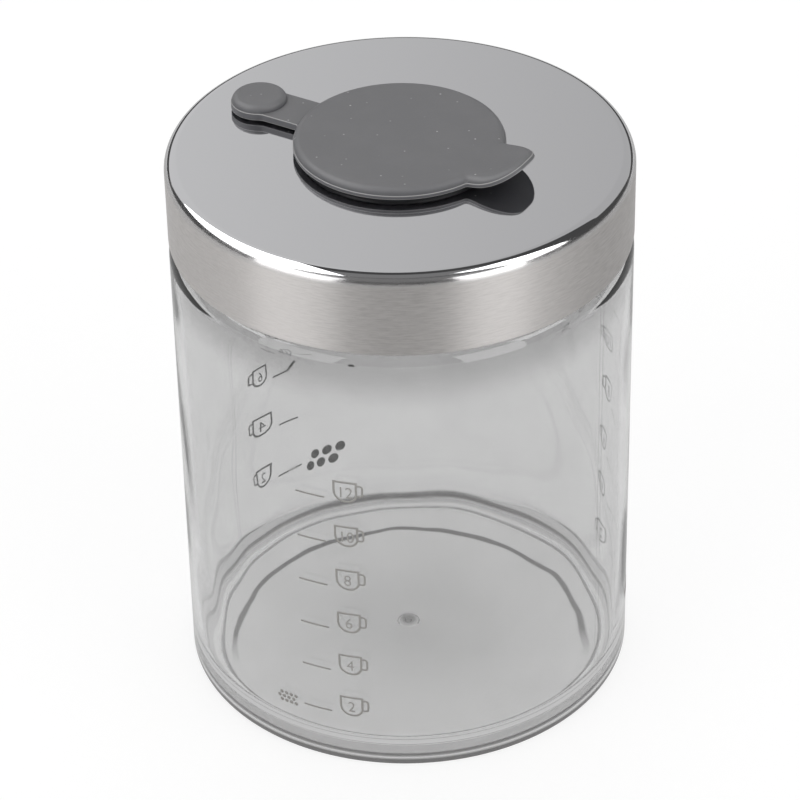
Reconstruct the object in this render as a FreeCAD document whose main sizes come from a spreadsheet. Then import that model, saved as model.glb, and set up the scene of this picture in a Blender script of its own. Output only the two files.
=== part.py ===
import FreeCAD, Part
import Sketcher
import math
import os

# Grounds container of a coffee grinder: a blown jar of clear plastic, a push-in lid made of a drawn
# steel cap over a moulded liner with a wiper seal, and a soft stopper with a living hinge.
# The origin is the middle of the jar's standing plane, +Z is up, and +X runs from the stopper's
# anchor over the middle of the lid to its pull tab. All lengths are in millimetres.

# Driving sizes: name, value, meaning.
SIZES = [
    ("jar_radius", 47.5, "outer radius of the jar's straight body"),
    ("jar_height", 120.1, "height of the jar's rim above the standing plane"),
    ("jar_wall", 2.0, "wall of the jar"),
    ("neck_inset", 3.3, "step in radius from the body to the neck"),
    ("neck_height", 15.6, "straight height of the neck"),
    ("shoulder_radius", 4.2, "round of the shoulder"),
    ("rim_bevel", 0.6, "bevel on the rim's two trimmed edges"),
    ("heel_radius", 1.5, "round where the wall meets the standing ring"),
    ("foot_width", 3.0, "width of the flat standing ring"),
    ("push_up", 0.9, "height of the raised underside"),
    ("push_up_slope", 1.4, "width of the slope from the standing ring to the raised underside"),
    ("floor_wall", 1.9, "thickness of the floor"),
    ("floor_corner", 5.5, "round between the inner wall and the floor"),
    ("gate_radius", 2.4, "radius of the gate mark under the floor"),
    ("gate_depth", 0.3, "depth of the gate mark"),
    ("gate_pip", 0.8, "radius of the pip in the gate mark"),
    ("sheet", 0.5, "steel sheet of the cap"),
    ("hem_drop", 0.1, "drop of the cap's hem below the foot of the neck"),
    ("cap_edge", 2.5, "outer round of the cap's top edge"),
    ("hem_width", 1.5, "width of the hem turned in under the liner"),
    ("hem_bevel", 0.3, "bevel on the hem's outer edge"),
    ("cap_fit", 0.05, "clearance of the liner in the cap"),
    ("liner_plate", 1.65, "thickness of the liner's plate"),
    ("liner_wall", 1.5, "outer wall of the liner"),
    ("skirt_clearance", 1.25, "gap between the neck and the liner's outer wall"),
    ("seat_clearance", 0.1, "gap between the jar's rim and the liner's plate"),
    ("plug_clearance", 0.5, "gap between the neck and the liner's plug wall"),
    ("plug_wall", 2.0, "thickness of the liner's plug wall"),
    ("plug_depth", 12.0, "depth of the plug wall below the plate"),
    ("plug_lead", 0.9, "lead-in chamfer at the foot of the plug wall"),
    ("collar_wall", 1.6, "wall of the collar round the filling hole"),
    ("collar_height", 1.1, "height of the collar above the cap"),
    ("collar_bevel", 0.4, "bevel on the collar's top edges"),
    ("chute_depth", 6.0, "depth of the filling collar below the plate"),
    ("rib_count", 6, "stiffening ribs under the plate"),
    ("rib_thickness", 1.2, "thickness of a rib"),
    ("rib_depth", 4.0, "depth of a rib below the plate"),
    ("groove_depth", 0.9, "depth of the seal's groove"),
    ("groove_height", 4.2, "height of the seal's groove"),
    ("groove_drop", 8.0, "drop from the plate to the middle of the seal's groove"),
    ("seal_fit", 0.05, "clearance of the seal in its groove"),
    ("seal_squeeze_gap", 0.06, "gap left between the seal's lips and the neck"),
    ("lip_thickness", 0.7, "thickness of a seal lip at its edge"),
    ("anchor_inset", 14.3, "distance of the anchor's axis from the cap's side"),
    ("disc_overhang", 1.6, "reach of the stopper's disc past the collar"),
    ("disc_thickness", 2.25, "thickness of the stopper's disc"),
    ("disc_round", 1.35, "round on the disc's top edge"),
    ("disc_seat", 0.1, "gap between the collar and the disc"),
    ("ring_fit", 0.25, "radial gap of the plug ring in the filling hole"),
    ("ring_taper", 0.55, "taper of the plug ring over its depth"),
    ("ring_wall", 1.4, "wall of the plug ring at its foot"),
    ("ring_depth", 5.0, "depth of the plug ring below the disc"),
    ("tab_width", 16.0, "width of the pull tab"),
    ("tab_root", 3.3, "length of the pull tab's curl inside the disc's edge"),
    ("tab_reach", 8.0, "reach of the pull tab past the disc"),
    ("tab_rise", 3.72, "rise of the tab's underside from its root to its tip"),
    ("tab_tip", 1.6, "thickness of the pull tab at its tip"),
    ("tab_tip_flat", 1.8, "straight length of the tab's tip between its round corners"),
    ("strap_length", 5.9, "free length of the strap between anchor and disc"),
    ("strap_width", 9.7, "width of the strap"),
    ("strap_thickness", 1.5, "thickness of the strap"),
    ("strap_top", 2.05, "height of the strap's top above the cap"),
    ("strap_split", 0.2, "gap at the fold line between the strap's two halves"),
    ("button_radius", 5.85, "radius of the anchor's button"),
    ("button_thickness", 2.9, "thickness of the anchor's button"),
    ("button_round", 1.35, "round on the button's top edge"),
    ("foot_height", 0.55, "height of the anchor's foot on the cap"),
    ("anchor_foot_radius", 4.2, "radius of the anchor's foot"),
    ("stem_radius", 2.5, "radius of the anchor's stem"),
    ("stem_fit", 0.1, "clearance of the stem in the liner"),
    ("cap_hole_fit", 0.4, "clearance of the stem in the cap"),
    ("barb_overlap", 1.1, "reach of the barb past the stem"),
    ("barb_height", 3.8, "height of the barb"),
    ("barb_gap", 0.1, "gap between the liner and the barb"),
]

# Sizes that several pieces share, as formulas over the driving sizes.
NECK_RADIUS = "(sizes.jar_radius - sizes.neck_inset)"
MOUTH_RADIUS = f"({NECK_RADIUS} - sizes.jar_wall)"
SHOULDER_RISE = "sqrt(sizes.shoulder_radius^2 - (sizes.shoulder_radius - sizes.neck_inset)^2)"
NECK_START = "(sizes.jar_height - sizes.neck_height)"
BODY_TOP = f"({NECK_START} - {SHOULDER_RISE})"
PLATE_UNDER = "(sizes.jar_height + sizes.seat_clearance)"
PLATE_TOP = f"({PLATE_UNDER} + sizes.liner_plate)"
LID_TOP = f"({PLATE_TOP} + sizes.cap_fit + sizes.sheet)"
LINER_INNER = f"({NECK_RADIUS} + sizes.skirt_clearance)"
LINER_RADIUS = f"({LINER_INNER} + sizes.liner_wall)"
CAP_RADIUS = f"({LINER_RADIUS} + sizes.cap_fit + sizes.sheet)"
SKIRT_FOOT = f"({NECK_START} - sizes.hem_drop)"
PLUG_RADIUS = f"({MOUTH_RADIUS} - sizes.plug_clearance)"
PLUG_FOOT = f"({PLATE_UNDER} - sizes.plug_depth)"
GROOVE_FLOOR = f"({PLUG_RADIUS} - sizes.groove_depth)"
GROOVE_MIDDLE = f"({PLATE_UNDER} - sizes.groove_drop)"
ANCHOR_PLACE = f"({CAP_RADIUS} - sizes.anchor_inset)"
DISC_RADIUS = f"({ANCHOR_PLACE} - sizes.button_radius - sizes.strap_length)"
FOLD_PLACE = f"({DISC_RADIUS} + sizes.strap_length / 2)"
COLLAR_RADIUS = f"({DISC_RADIUS} - sizes.disc_overhang)"
CHUTE_RADIUS = f"({COLLAR_RADIUS} - sizes.collar_wall)"
DISC_UNDER = "(sizes.collar_height + sizes.disc_seat)"
DISC_TOP = f"({DISC_UNDER} + sizes.disc_thickness)"
LID_THICKNESS = "(sizes.sheet + sizes.cap_fit + sizes.liner_plate)"

doc = FreeCAD.newDocument("grounds_container")
sheet = doc.addObject("Spreadsheet::Sheet", "sizes")
for row, (alias, value, meaning) in enumerate(SIZES, start=1):
    sheet.set(f"A{row}", meaning)
    sheet.set(f"B{row}", str(value))
    sheet.setAlias(f"B{row}", alias)
doc.recompute()


def value_of(formula):
    """Work out a formula over the sheet's sizes, as a plain number."""
    return float(sheet.evalExpression(formula))


def new_body(label):
    """Start a sub-part; its label names its file."""
    body = doc.addObject("PartDesign::Body", label)
    body.Label = label
    return body


def sketch_on(body, name, role):
    """Start a sketch on one of the body's own origin planes."""
    sketch = body.newObject("Sketcher::SketchObject", name)
    plane = next(item for item in body.Origin.OriginFeatures if item.Role == role)
    sketch.AttachmentSupport = [(plane, "")]
    sketch.MapMode = "FlatFace"
    return sketch


def bind(sketch, kind, geometry, point, formula):
    """Hold one coordinate of a sketch point at a formula, measured from the sketch's origin."""
    index = sketch.addConstraint(
        Sketcher.Constraint(kind, -1, 1, geometry, point, value_of(formula))
    )
    sketch.setExpression(f"Constraints[{index}]", formula)


def arc_through(start, end, radius, turn):
    """Give the arc between two points, and whether it runs from the first to the second.

    turn is +1 for an arc that bends left on its way from start to end, and -1 for one that
    bends right.
    """
    chord = end - start
    half = chord.Length / 2
    offset = math.sqrt(max(radius**2 - half**2, 0.0))
    left = FreeCAD.Vector(-chord.y, chord.x, 0).normalize()
    centre = start + chord * 0.5 + left * offset * turn
    angles = [math.atan2(p.y - centre.y, p.x - centre.x) for p in (start, end)]
    if turn < 0:
        angles.reverse()
    circle = Part.Circle(centre, FreeCAD.Vector(0, 0, 1), radius)
    return Part.ArcOfCircle(circle, angles[0], angles[1]), turn > 0


def outline(sketch, corners):
    """Draw one closed outline.

    Each corner is (x, y) for a straight run to it from the corner before, or
    (x, y, radius, turn) for an arc to it. All of them are formulas, but for turn.
    """
    places = [FreeCAD.Vector(value_of(c[0]), value_of(c[1]), 0) for c in corners]
    ends = []
    for index, corner in enumerate(corners):
        start = places[index - 1]
        end = places[index]
        if len(corner) == 2:
            geometry = sketch.addGeometry(Part.LineSegment(start, end), False)
            ends.append((geometry, 1, 2))
            continue
        arc, forward = arc_through(start, end, value_of(corner[2]), corner[3])
        geometry = sketch.addGeometry(arc, False)
        ends.append((geometry, 1, 2) if forward else (geometry, 2, 1))
        number = sketch.addConstraint(
            Sketcher.Constraint("Radius", geometry, value_of(corner[2]))
        )
        sketch.setExpression(f"Constraints[{number}]", corner[2])
    for index, (geometry, first, last) in enumerate(ends):
        before, _, before_last = ends[index - 1]
        sketch.addConstraint(
            Sketcher.Constraint("Coincident", before, before_last, geometry, first)
        )
        bind(sketch, "DistanceX", geometry, last, corners[index][0])
        bind(sketch, "DistanceY", geometry, last, corners[index][1])


def circle_at(sketch, x, y, radius):
    """Draw a circle whose centre and radius are formulas."""
    centre = FreeCAD.Vector(value_of(x), value_of(y), 0)
    circle = Part.Circle(centre, FreeCAD.Vector(0, 0, 1), value_of(radius))
    geometry = sketch.addGeometry(circle, False)
    number = sketch.addConstraint(Sketcher.Constraint("Radius", geometry, value_of(radius)))
    sketch.setExpression(f"Constraints[{number}]", radius)
    bind(sketch, "DistanceX", geometry, 3, x)
    bind(sketch, "DistanceY", geometry, 3, y)


def revolve(body, name, corners):
    """Turn an outline of (radius, height) corners once round the body's upright axis."""
    sketch = sketch_on(body, f"{name}_section", "XZ_Plane")
    outline(sketch, corners)
    turned = body.newObject("PartDesign::Revolution", name)
    turned.Profile = sketch
    turned.ReferenceAxis = (sketch, ["V_Axis"])
    turned.Angle = 360
    doc.recompute()
    return turned


def pocket_through(body, name, sketch):
    """Cut a sketch of the ground plane right through the body, both ways."""
    before = body.Shape.Volume
    pocket = body.newObject("PartDesign::Pocket", name)
    pocket.Profile = sketch
    pocket.Type = "ThroughAll"
    pocket.Midplane = True
    doc.recompute()
    if body.Shape.Volume >= before:
        raise RuntimeError(f"{name} cuts nothing")
    return pocket


def pad_both_ways(body, name, sketch, length):
    """Pad a sketch by half of a length each way."""
    pad = body.newObject("PartDesign::Pad", name)
    pad.Profile = sketch
    pad.Midplane = True
    pad.setExpression("Length", length)
    doc.recompute()
    return pad


def make_jar():
    """Blown jar: straight body, round shoulder, neck, standing ring and raised underside."""
    body = new_body("jar")
    outer = "sizes.jar_radius"
    inner = "(sizes.jar_radius - sizes.jar_wall)"
    foot_outer = "(sizes.jar_radius - sizes.heel_radius)"
    foot_inner = f"({foot_outer} - sizes.foot_width)"
    raised = f"({foot_inner} - sizes.push_up_slope)"
    floor = "(sizes.push_up + sizes.floor_wall)"
    inner_shoulder = "(sizes.shoulder_radius - sizes.jar_wall / 2)"
    inner_rise = f"sqrt({inner_shoulder}^2 - ({inner_shoulder} - sizes.neck_inset)^2)"
    revolve(
        body,
        "jar_shell",
        [
            ("0", "sizes.push_up"),
            (raised, "sizes.push_up"),
            (foot_inner, "0"),
            (foot_outer, "0"),
            (outer, "sizes.heel_radius", "sizes.heel_radius", 1),
            (outer, BODY_TOP),
            (NECK_RADIUS, NECK_START, "sizes.shoulder_radius", 1),
            (NECK_RADIUS, "sizes.jar_height - sizes.rim_bevel"),
            (f"{NECK_RADIUS} - sizes.rim_bevel", "sizes.jar_height"),
            (f"{MOUTH_RADIUS} + sizes.rim_bevel", "sizes.jar_height"),
            (MOUTH_RADIUS, "sizes.jar_height - sizes.rim_bevel"),
            (MOUTH_RADIUS, f"{BODY_TOP} + {inner_rise}"),
            (inner, BODY_TOP, inner_shoulder, -1),
            (inner, f"{floor} + sizes.floor_corner"),
            (f"{inner} - sizes.floor_corner", floor, "sizes.floor_corner", -1),
            ("0", floor),
        ],
    )
    mark = sketch_on(body, "gate_ring", "XY_Plane")
    circle_at(mark, "0", "0", "sizes.gate_radius")
    circle_at(mark, "0", "0", "sizes.gate_pip")
    before = body.Shape.Volume
    pocket = body.newObject("PartDesign::Pocket", "gate_mark")
    pocket.Profile = mark
    pocket.Reversed = True
    pocket.setExpression("Length", "sizes.push_up + sizes.gate_depth")
    doc.recompute()
    if body.Shape.Volume >= before:
        raise RuntimeError("gate_mark cuts nothing")
    return body


def make_lid_cap():
    """Drawn steel cap: rounded top edge, skirt, turned-in hem, and two punched holes."""
    body = new_body("lid_cap")
    inner = f"({CAP_RADIUS} - sizes.sheet)"
    inner_top = f"({LID_TOP} - sizes.sheet)"
    hole = f"({COLLAR_RADIUS} + sizes.cap_fit)"
    inner_edge = "(sizes.cap_edge - sizes.sheet)"
    revolve(
        body,
        "cap_shell",
        [
            (hole, inner_top),
            (f"{inner} - {inner_edge}", inner_top),
            (inner, f"{inner_top} - {inner_edge}", inner_edge, -1),
            (inner, f"{SKIRT_FOOT} + sizes.sheet"),
            (f"{inner} - sizes.hem_width", f"{SKIRT_FOOT} + sizes.sheet"),
            (f"{inner} - sizes.hem_width", SKIRT_FOOT),
            (f"{CAP_RADIUS} - sizes.hem_bevel", SKIRT_FOOT),
            (CAP_RADIUS, f"{SKIRT_FOOT} + sizes.hem_bevel"),
            (CAP_RADIUS, f"{LID_TOP} - sizes.cap_edge"),
            (f"{CAP_RADIUS} - sizes.cap_edge", LID_TOP, "sizes.cap_edge", 1),
            (hole, LID_TOP),
        ],
    )
    punched = sketch_on(body, "anchor_circle", "XY_Plane")
    circle_at(punched, f"-{ANCHOR_PLACE}", "0", "sizes.stem_radius + sizes.cap_hole_fit")
    pocket_through(body, "anchor_hole", punched)
    return body


def make_lid_liner():
    """Moulded liner: plate, outer wall, plug wall with the seal's groove, filling collar, ribs."""
    body = new_body("lid_liner")
    plug_inner = f"({PLUG_RADIUS} - sizes.plug_wall)"
    wall_foot = f"({SKIRT_FOOT} + sizes.sheet + sizes.cap_fit)"
    wall_bevel = "(sizes.cap_edge - sizes.sheet)"
    collar_top = f"({LID_TOP} + sizes.collar_height)"
    chute_foot = f"({PLATE_UNDER} - sizes.chute_depth)"
    groove_top = f"({GROOVE_MIDDLE} + sizes.groove_height / 2)"
    groove_foot = f"({GROOVE_MIDDLE} - sizes.groove_height / 2)"
    revolve(
        body,
        "liner_shell",
        [
            (CHUTE_RADIUS, chute_foot),
            (COLLAR_RADIUS, chute_foot),
            (COLLAR_RADIUS, PLATE_UNDER),
            (plug_inner, PLATE_UNDER),
            (plug_inner, PLUG_FOOT),
            (f"{PLUG_RADIUS} - sizes.plug_lead", PLUG_FOOT),
            (PLUG_RADIUS, f"{PLUG_FOOT} + sizes.plug_lead"),
            (PLUG_RADIUS, groove_foot),
            (GROOVE_FLOOR, groove_foot),
            (GROOVE_FLOOR, groove_top),
            (PLUG_RADIUS, groove_top),
            (PLUG_RADIUS, PLATE_UNDER),
            (LINER_INNER, PLATE_UNDER),
            (LINER_INNER, wall_foot),
            (LINER_RADIUS, wall_foot),
            (LINER_RADIUS, f"{PLATE_TOP} - {wall_bevel}"),
            (f"{LINER_RADIUS} - {wall_bevel}", PLATE_TOP),
            (COLLAR_RADIUS, PLATE_TOP),
            (COLLAR_RADIUS, f"{collar_top} - sizes.collar_bevel"),
            (f"{COLLAR_RADIUS} - sizes.collar_bevel", collar_top),
            (f"{CHUTE_RADIUS} + sizes.collar_bevel", collar_top),
            (CHUTE_RADIUS, f"{collar_top} - sizes.collar_bevel"),
        ],
    )
    drilled = sketch_on(body, "anchor_circle", "XY_Plane")
    circle_at(drilled, f"-{ANCHOR_PLACE}", "0", "sizes.stem_radius + sizes.stem_fit")
    pocket_through(body, "anchor_hole", drilled)
    # The ribs start across the line from anchor to tab, so that none meets the anchor's barb.
    rib = sketch_on(body, "rib_side", "YZ_Plane")
    rib_from = f"({CHUTE_RADIUS} + sizes.collar_wall / 2)"
    rib_to = f"({plug_inner} + sizes.plug_wall / 2)"
    rib_foot = f"({PLATE_UNDER} - sizes.rib_depth)"
    rib_top = f"({PLATE_UNDER} + sizes.liner_plate / 2)"
    outline(
        rib,
        [(rib_from, rib_foot), (rib_to, rib_foot), (rib_to, rib_top), (rib_from, rib_top)],
    )
    pad = pad_both_ways(body, "rib", rib, "sizes.rib_thickness")
    ribs = body.newObject("PartDesign::PolarPattern", "ribs")
    ribs.Originals = [pad]
    ribs.Axis = (rib, ["V_Axis"])
    ribs.Angle = 360
    ribs.setExpression("Occurrences", "sizes.rib_count")
    body.Tip = ribs
    doc.recompute()
    return body


def make_lid_seal():
    """Wiper ring: a band in the liner's groove with two lips that meet the neck."""
    body = new_body("lid_seal")
    band_inner = f"({GROOVE_FLOOR} + sizes.seal_fit)"
    lip_edge = f"({MOUTH_RADIUS} - sizes.seal_squeeze_gap)"
    half = "(sizes.groove_height / 2 - sizes.seal_fit)"
    top = f"({GROOVE_MIDDLE} + {half})"
    foot = f"({GROOVE_MIDDLE} - {half})"
    revolve(
        body,
        "seal_ring",
        [
            (band_inner, foot),
            (PLUG_RADIUS, foot),
            (lip_edge, f"{foot} + sizes.lip_thickness"),
            (lip_edge, f"{foot} + 2 * sizes.lip_thickness"),
            (PLUG_RADIUS, GROOVE_MIDDLE),
            (lip_edge, f"{top} - sizes.lip_thickness"),
            (lip_edge, top),
            (band_inner, top),
        ],
    )
    return body


def make_stopper_anchor():
    """Anchor of the stopper: button, foot, stem with barb, and its half of the strap."""
    body = new_body("stopper_anchor")
    button_top = "(sizes.foot_height + sizes.button_thickness)"
    barb_top = f"(-{LID_THICKNESS} - sizes.barb_gap)"
    barb_radius = "(sizes.stem_radius + sizes.barb_overlap)"
    barb_foot = f"({barb_top} - sizes.barb_height)"
    revolve(
        body,
        "anchor_button",
        [
            ("0", barb_foot),
            ("sizes.stem_radius * 0.7", barb_foot),
            (barb_radius, barb_top),
            ("sizes.stem_radius", barb_top),
            ("sizes.stem_radius", "0"),
            ("sizes.anchor_foot_radius", "0"),
            ("sizes.anchor_foot_radius", "sizes.foot_height"),
            ("sizes.button_radius", "sizes.foot_height"),
            ("sizes.button_radius", f"{button_top} - sizes.button_round"),
            ("sizes.button_radius - sizes.button_round", button_top, "sizes.button_round", 1),
            ("0", button_top),
        ],
    )
    side = sketch_on(body, "strap_side", "XZ_Plane")
    strap_foot = "(sizes.strap_top - sizes.strap_thickness)"
    fold = f"({ANCHOR_PLACE} - {FOLD_PLACE} - sizes.strap_split / 2)"
    root = "(sizes.button_radius / 2)"
    outline(
        side,
        [(root, strap_foot), (fold, strap_foot), (fold, "sizes.strap_top"), (root, "sizes.strap_top")],
    )
    pad_both_ways(body, "strap_half", side, "sizes.strap_width")
    body.setExpression("Placement.Base.x", f"-{ANCHOR_PLACE}")
    body.setExpression("Placement.Base.z", LID_TOP)
    doc.recompute()
    return body


def make_stopper_flap():
    """Flap of the stopper: disc, tapered plug ring, turned-up pull tab, and its half strap."""
    body = new_body("stopper_flap")
    # The tab's side view: it curls up from a level root inside the disc and thins to its tip.
    curl_start = f"({DISC_RADIUS} - sizes.tab_root)"
    run = "(sizes.tab_root + sizes.tab_reach)"
    slope = f"(2 * atan(sizes.tab_rise / {run}))"
    tip_x = f"({DISC_RADIUS} + sizes.tab_reach)"
    tip_z = f"({DISC_UNDER} + sizes.tab_rise)"
    tip_top_x = f"({tip_x} - sizes.tab_tip * sin({slope}))"
    tip_top_z = f"({tip_z} + sizes.tab_tip * cos({slope}))"
    top_run = f"({tip_top_x} - {curl_start})"
    top_rise = f"({tip_top_z} - {DISC_TOP})"
    lower_curl = f"(({run}^2 + sizes.tab_rise^2) / (2 * sizes.tab_rise))"
    upper_curl = f"(({top_run}^2 + {top_rise}^2) / (2 * {top_rise}))"
    side = sketch_on(body, "tab_side", "XZ_Plane")
    root = f"({curl_start} - sizes.disc_thickness)"
    outline(
        side,
        [
            (root, DISC_UNDER),
            (curl_start, DISC_UNDER),
            (tip_x, tip_z, lower_curl, 1),
            (tip_top_x, tip_top_z),
            (curl_start, DISC_TOP, upper_curl, -1),
            (root, DISC_TOP),
        ],
    )
    pad_both_ways(body, "tab", side, "sizes.tab_width")
    # In plan the tab's two corners are round.
    side_y = "(sizes.tab_width / 2)"
    flat_y = "(sizes.tab_tip_flat / 2)"
    corner = f"({side_y} - {flat_y})"
    corner_x = f"({tip_x} - {corner})"
    past_x = f"({tip_x} + sizes.tab_tip)"
    past_y = f"({side_y} + sizes.tab_tip)"
    corners = sketch_on(body, "tab_corners", "XY_Plane")
    outline(
        corners,
        [(corner_x, side_y), (tip_x, flat_y, corner, -1), (past_x, flat_y), (past_x, past_y), (corner_x, past_y)],
    )
    outline(
        corners,
        [
            (tip_x, f"-{flat_y}"),
            (corner_x, f"-{side_y}", corner, -1),
            (corner_x, f"-{past_y}"),
            (past_x, f"-{past_y}"),
            (past_x, f"-{flat_y}"),
        ],
    )
    pocket_through(body, "round_corners", corners)
    ring_top = f"({CHUTE_RADIUS} - sizes.ring_fit)"
    ring_foot = f"({ring_top} - sizes.ring_taper)"
    ring_end = f"({DISC_UNDER} - sizes.ring_depth)"
    revolve(
        body,
        "stopper_disc",
        [
            ("0", DISC_UNDER),
            (f"{ring_foot} - sizes.ring_wall", DISC_UNDER),
            (f"{ring_foot} - sizes.ring_wall", ring_end),
            (ring_foot, ring_end),
            (ring_top, DISC_UNDER),
            (DISC_RADIUS, DISC_UNDER),
            (DISC_RADIUS, f"{DISC_TOP} - sizes.disc_round"),
            (f"{DISC_RADIUS} - sizes.disc_round", DISC_TOP, "sizes.disc_round", 1),
            ("0", DISC_TOP),
        ],
    )
    strap = sketch_on(body, "strap_side", "XZ_Plane")
    strap_foot = "(sizes.strap_top - sizes.strap_thickness)"
    fold = f"(-{FOLD_PLACE} + sizes.strap_split / 2)"
    root = f"(-{COLLAR_RADIUS} - sizes.cap_hole_fit)"
    outline(
        strap,
        [(root, strap_foot), (root, "sizes.strap_top"), (fold, "sizes.strap_top"), (fold, strap_foot)],
    )
    pad_both_ways(body, "strap_half", strap, "sizes.strap_width")
    body.setExpression("Placement.Base.z", LID_TOP)
    doc.recompute()
    return body


pieces = [
    make_jar(),
    make_lid_cap(),
    make_lid_liner(),
    make_lid_seal(),
    make_stopper_anchor(),
    make_stopper_flap(),
]
doc.recompute()

for item in doc.Objects:
    if "Invalid" in item.State or "Error" in item.State:
        raise RuntimeError(f"{item.Label} did not build: {item.State}")
for piece in pieces:
    if piece.Shape.isNull() or not piece.Shape.isValid() or len(piece.Shape.Solids) != 1:
        raise RuntimeError(f"{piece.Label} is not one whole solid")

os.makedirs("parts", exist_ok=True)
for piece in pieces:
    piece.Shape.exportStep(f"parts/{piece.Label}.step")
    box = piece.Shape.optimalBoundingBox(False)
    print(
        f"{piece.Label}: volume {piece.Shape.Volume:.0f} mm3,"
        f" x {box.XMin:.2f} to {box.XMax:.2f}, y {box.YMin:.2f} to {box.YMax:.2f},"
        f" z {box.ZMin:.2f} to {box.ZMax:.2f}"
    )
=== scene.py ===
"""Looks of a coffee grinder's grounds container: a smoky clear jar, a steel lid and a silicone stopper."""

import logging
import math
from collections.abc import Callable, Sequence
from dataclasses import dataclass, field
from enum import Enum

import bmesh
import bpy
import numpy as np
from mathutils import Matrix, Vector
from mathutils.geometry import delaunay_2d_cdt


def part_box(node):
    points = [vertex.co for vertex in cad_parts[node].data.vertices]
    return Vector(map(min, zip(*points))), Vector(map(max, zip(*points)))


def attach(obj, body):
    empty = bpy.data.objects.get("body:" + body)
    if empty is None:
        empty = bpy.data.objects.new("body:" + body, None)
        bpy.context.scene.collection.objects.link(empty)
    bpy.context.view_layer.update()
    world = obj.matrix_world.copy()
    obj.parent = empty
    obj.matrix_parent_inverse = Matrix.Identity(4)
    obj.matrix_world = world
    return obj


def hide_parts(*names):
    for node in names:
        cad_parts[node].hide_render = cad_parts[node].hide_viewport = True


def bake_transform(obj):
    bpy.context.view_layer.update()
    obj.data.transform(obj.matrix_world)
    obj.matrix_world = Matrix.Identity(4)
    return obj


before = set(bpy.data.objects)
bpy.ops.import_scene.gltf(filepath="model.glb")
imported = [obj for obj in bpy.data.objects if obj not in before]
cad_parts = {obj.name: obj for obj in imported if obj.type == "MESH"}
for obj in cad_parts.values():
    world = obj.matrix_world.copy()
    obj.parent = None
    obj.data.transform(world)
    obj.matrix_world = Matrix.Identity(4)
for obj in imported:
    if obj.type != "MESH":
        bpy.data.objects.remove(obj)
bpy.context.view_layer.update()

log = logging.getLogger("grounds_container")

MM = 0.001
LIP_HIGHLIGHT_LAYER = "lip"
OBJECT_MIDDLE = Vector((0, 0, 0.06))
WHITE = (1, 1, 1, 1)

Point = tuple[float, float]
Profile = list[Point]


# Shared helpers


def linear(hex_colour: str) -> tuple[float, float, float, float]:
    """Turn an sRGB hex colour into linear values.

    Args:
        hex_colour: Six hex digits, with or without a leading hash.

    Returns:
        Red, green, blue and an alpha of one.
    """
    digits = hex_colour.lstrip("#")
    values = [int(digits[i : i + 2], 16) / 255 for i in (0, 2, 4)]
    red, green, blue = (
        v / 12.92 if v <= 0.04045 else ((v + 0.055) / 1.055) ** 2.4 for v in values
    )
    return (red, green, blue, 1.0)


def add_node(
    tree: bpy.types.NodeTree,
    kind: str,
    settings: dict | None = None,
    inputs: dict | None = None,
) -> bpy.types.Node:
    """Add one node, set its properties, and fill or link its inputs.

    Args:
        tree: The node tree that gets the node.
        kind: The node's type, such as ShaderNodeMath.
        settings: Properties of the node by name.
        inputs: Values or output sockets by input name or index.

    Returns:
        The new node.
    """
    node = tree.nodes.new(kind)
    for name, value in (settings or {}).items():
        setattr(node, name, value)
    for name, value in (inputs or {}).items():
        socket = node.inputs[name]
        if isinstance(value, bpy.types.NodeSocket):
            tree.links.new(value, socket)
        else:
            socket.default_value = value
    return node


def empty_material(name: str) -> tuple[bpy.types.Material, bpy.types.NodeTree]:
    """Start a node material that holds no nodes."""
    material = bpy.data.materials.new(name)
    material.use_nodes = True
    material.node_tree.nodes.clear()
    return material, material.node_tree


def band(
    tree: bpy.types.NodeTree,
    value: bpy.types.NodeSocket,
    centre: float,
    half: float,
    level: float,
) -> bpy.types.NodeSocket:
    """Mark where a value lies near another one, with soft ends.

    Args:
        tree: The node tree.
        value: The value that is looked at.
        centre: Middle of the marked range.
        half: Half its width, of which the outer half fades.
        level: What the mark holds in the middle.

    Returns:
        The mark's socket: the level inside the range, 0 outside it.
    """
    off = add_node(tree, "ShaderNodeMath", {"operation": "SUBTRACT"}, {0: value, 1: centre})
    away = add_node(tree, "ShaderNodeMath", {"operation": "ABSOLUTE"}, {0: off.outputs[0]})
    return add_node(
        tree,
        "ShaderNodeMapRange",
        inputs={
            "Value": away.outputs[0],
            "From Min": half * 0.5,
            "From Max": half,
            "To Min": level,
            "To Max": 0.0,
        },
    ).outputs[0]


def finish_material(tree: bpy.types.NodeTree, surface: bpy.types.NodeSocket) -> None:
    """Link a shader to the material's output."""
    add_node(tree, "ShaderNodeOutputMaterial", inputs={"Surface": surface})


def arc(centre: Point, radius: float, start: float, end: float, steps: int) -> Profile:
    """Give the points of an arc.

    Args:
        centre: The arc's centre.
        radius: The arc's radius.
        start: Angle of the first point, in degrees.
        end: Angle of the last point, in degrees.
        steps: How many steps the arc has.

    Returns:
        The points, both ends among them.
    """
    angles = np.radians(np.linspace(start, end, steps + 1))
    return [(centre[0] + radius * math.cos(a), centre[1] + radius * math.sin(a)) for a in angles]


def run(start: Point, end: Point, steps: int) -> Profile:
    """Give the points of a straight run, without its last point."""
    return [
        (start[0] + (end[0] - start[0]) * i / steps, start[1] + (end[1] - start[1]) * i / steps)
        for i in range(steps)
    ]


def linked(name: str, data: bpy.types.ID) -> bpy.types.Object:
    """Make an object of a mesh, text, lamp or camera, and link it to the scene."""
    made = bpy.data.objects.new(name, data)
    bpy.context.scene.collection.objects.link(made)
    return made


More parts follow.
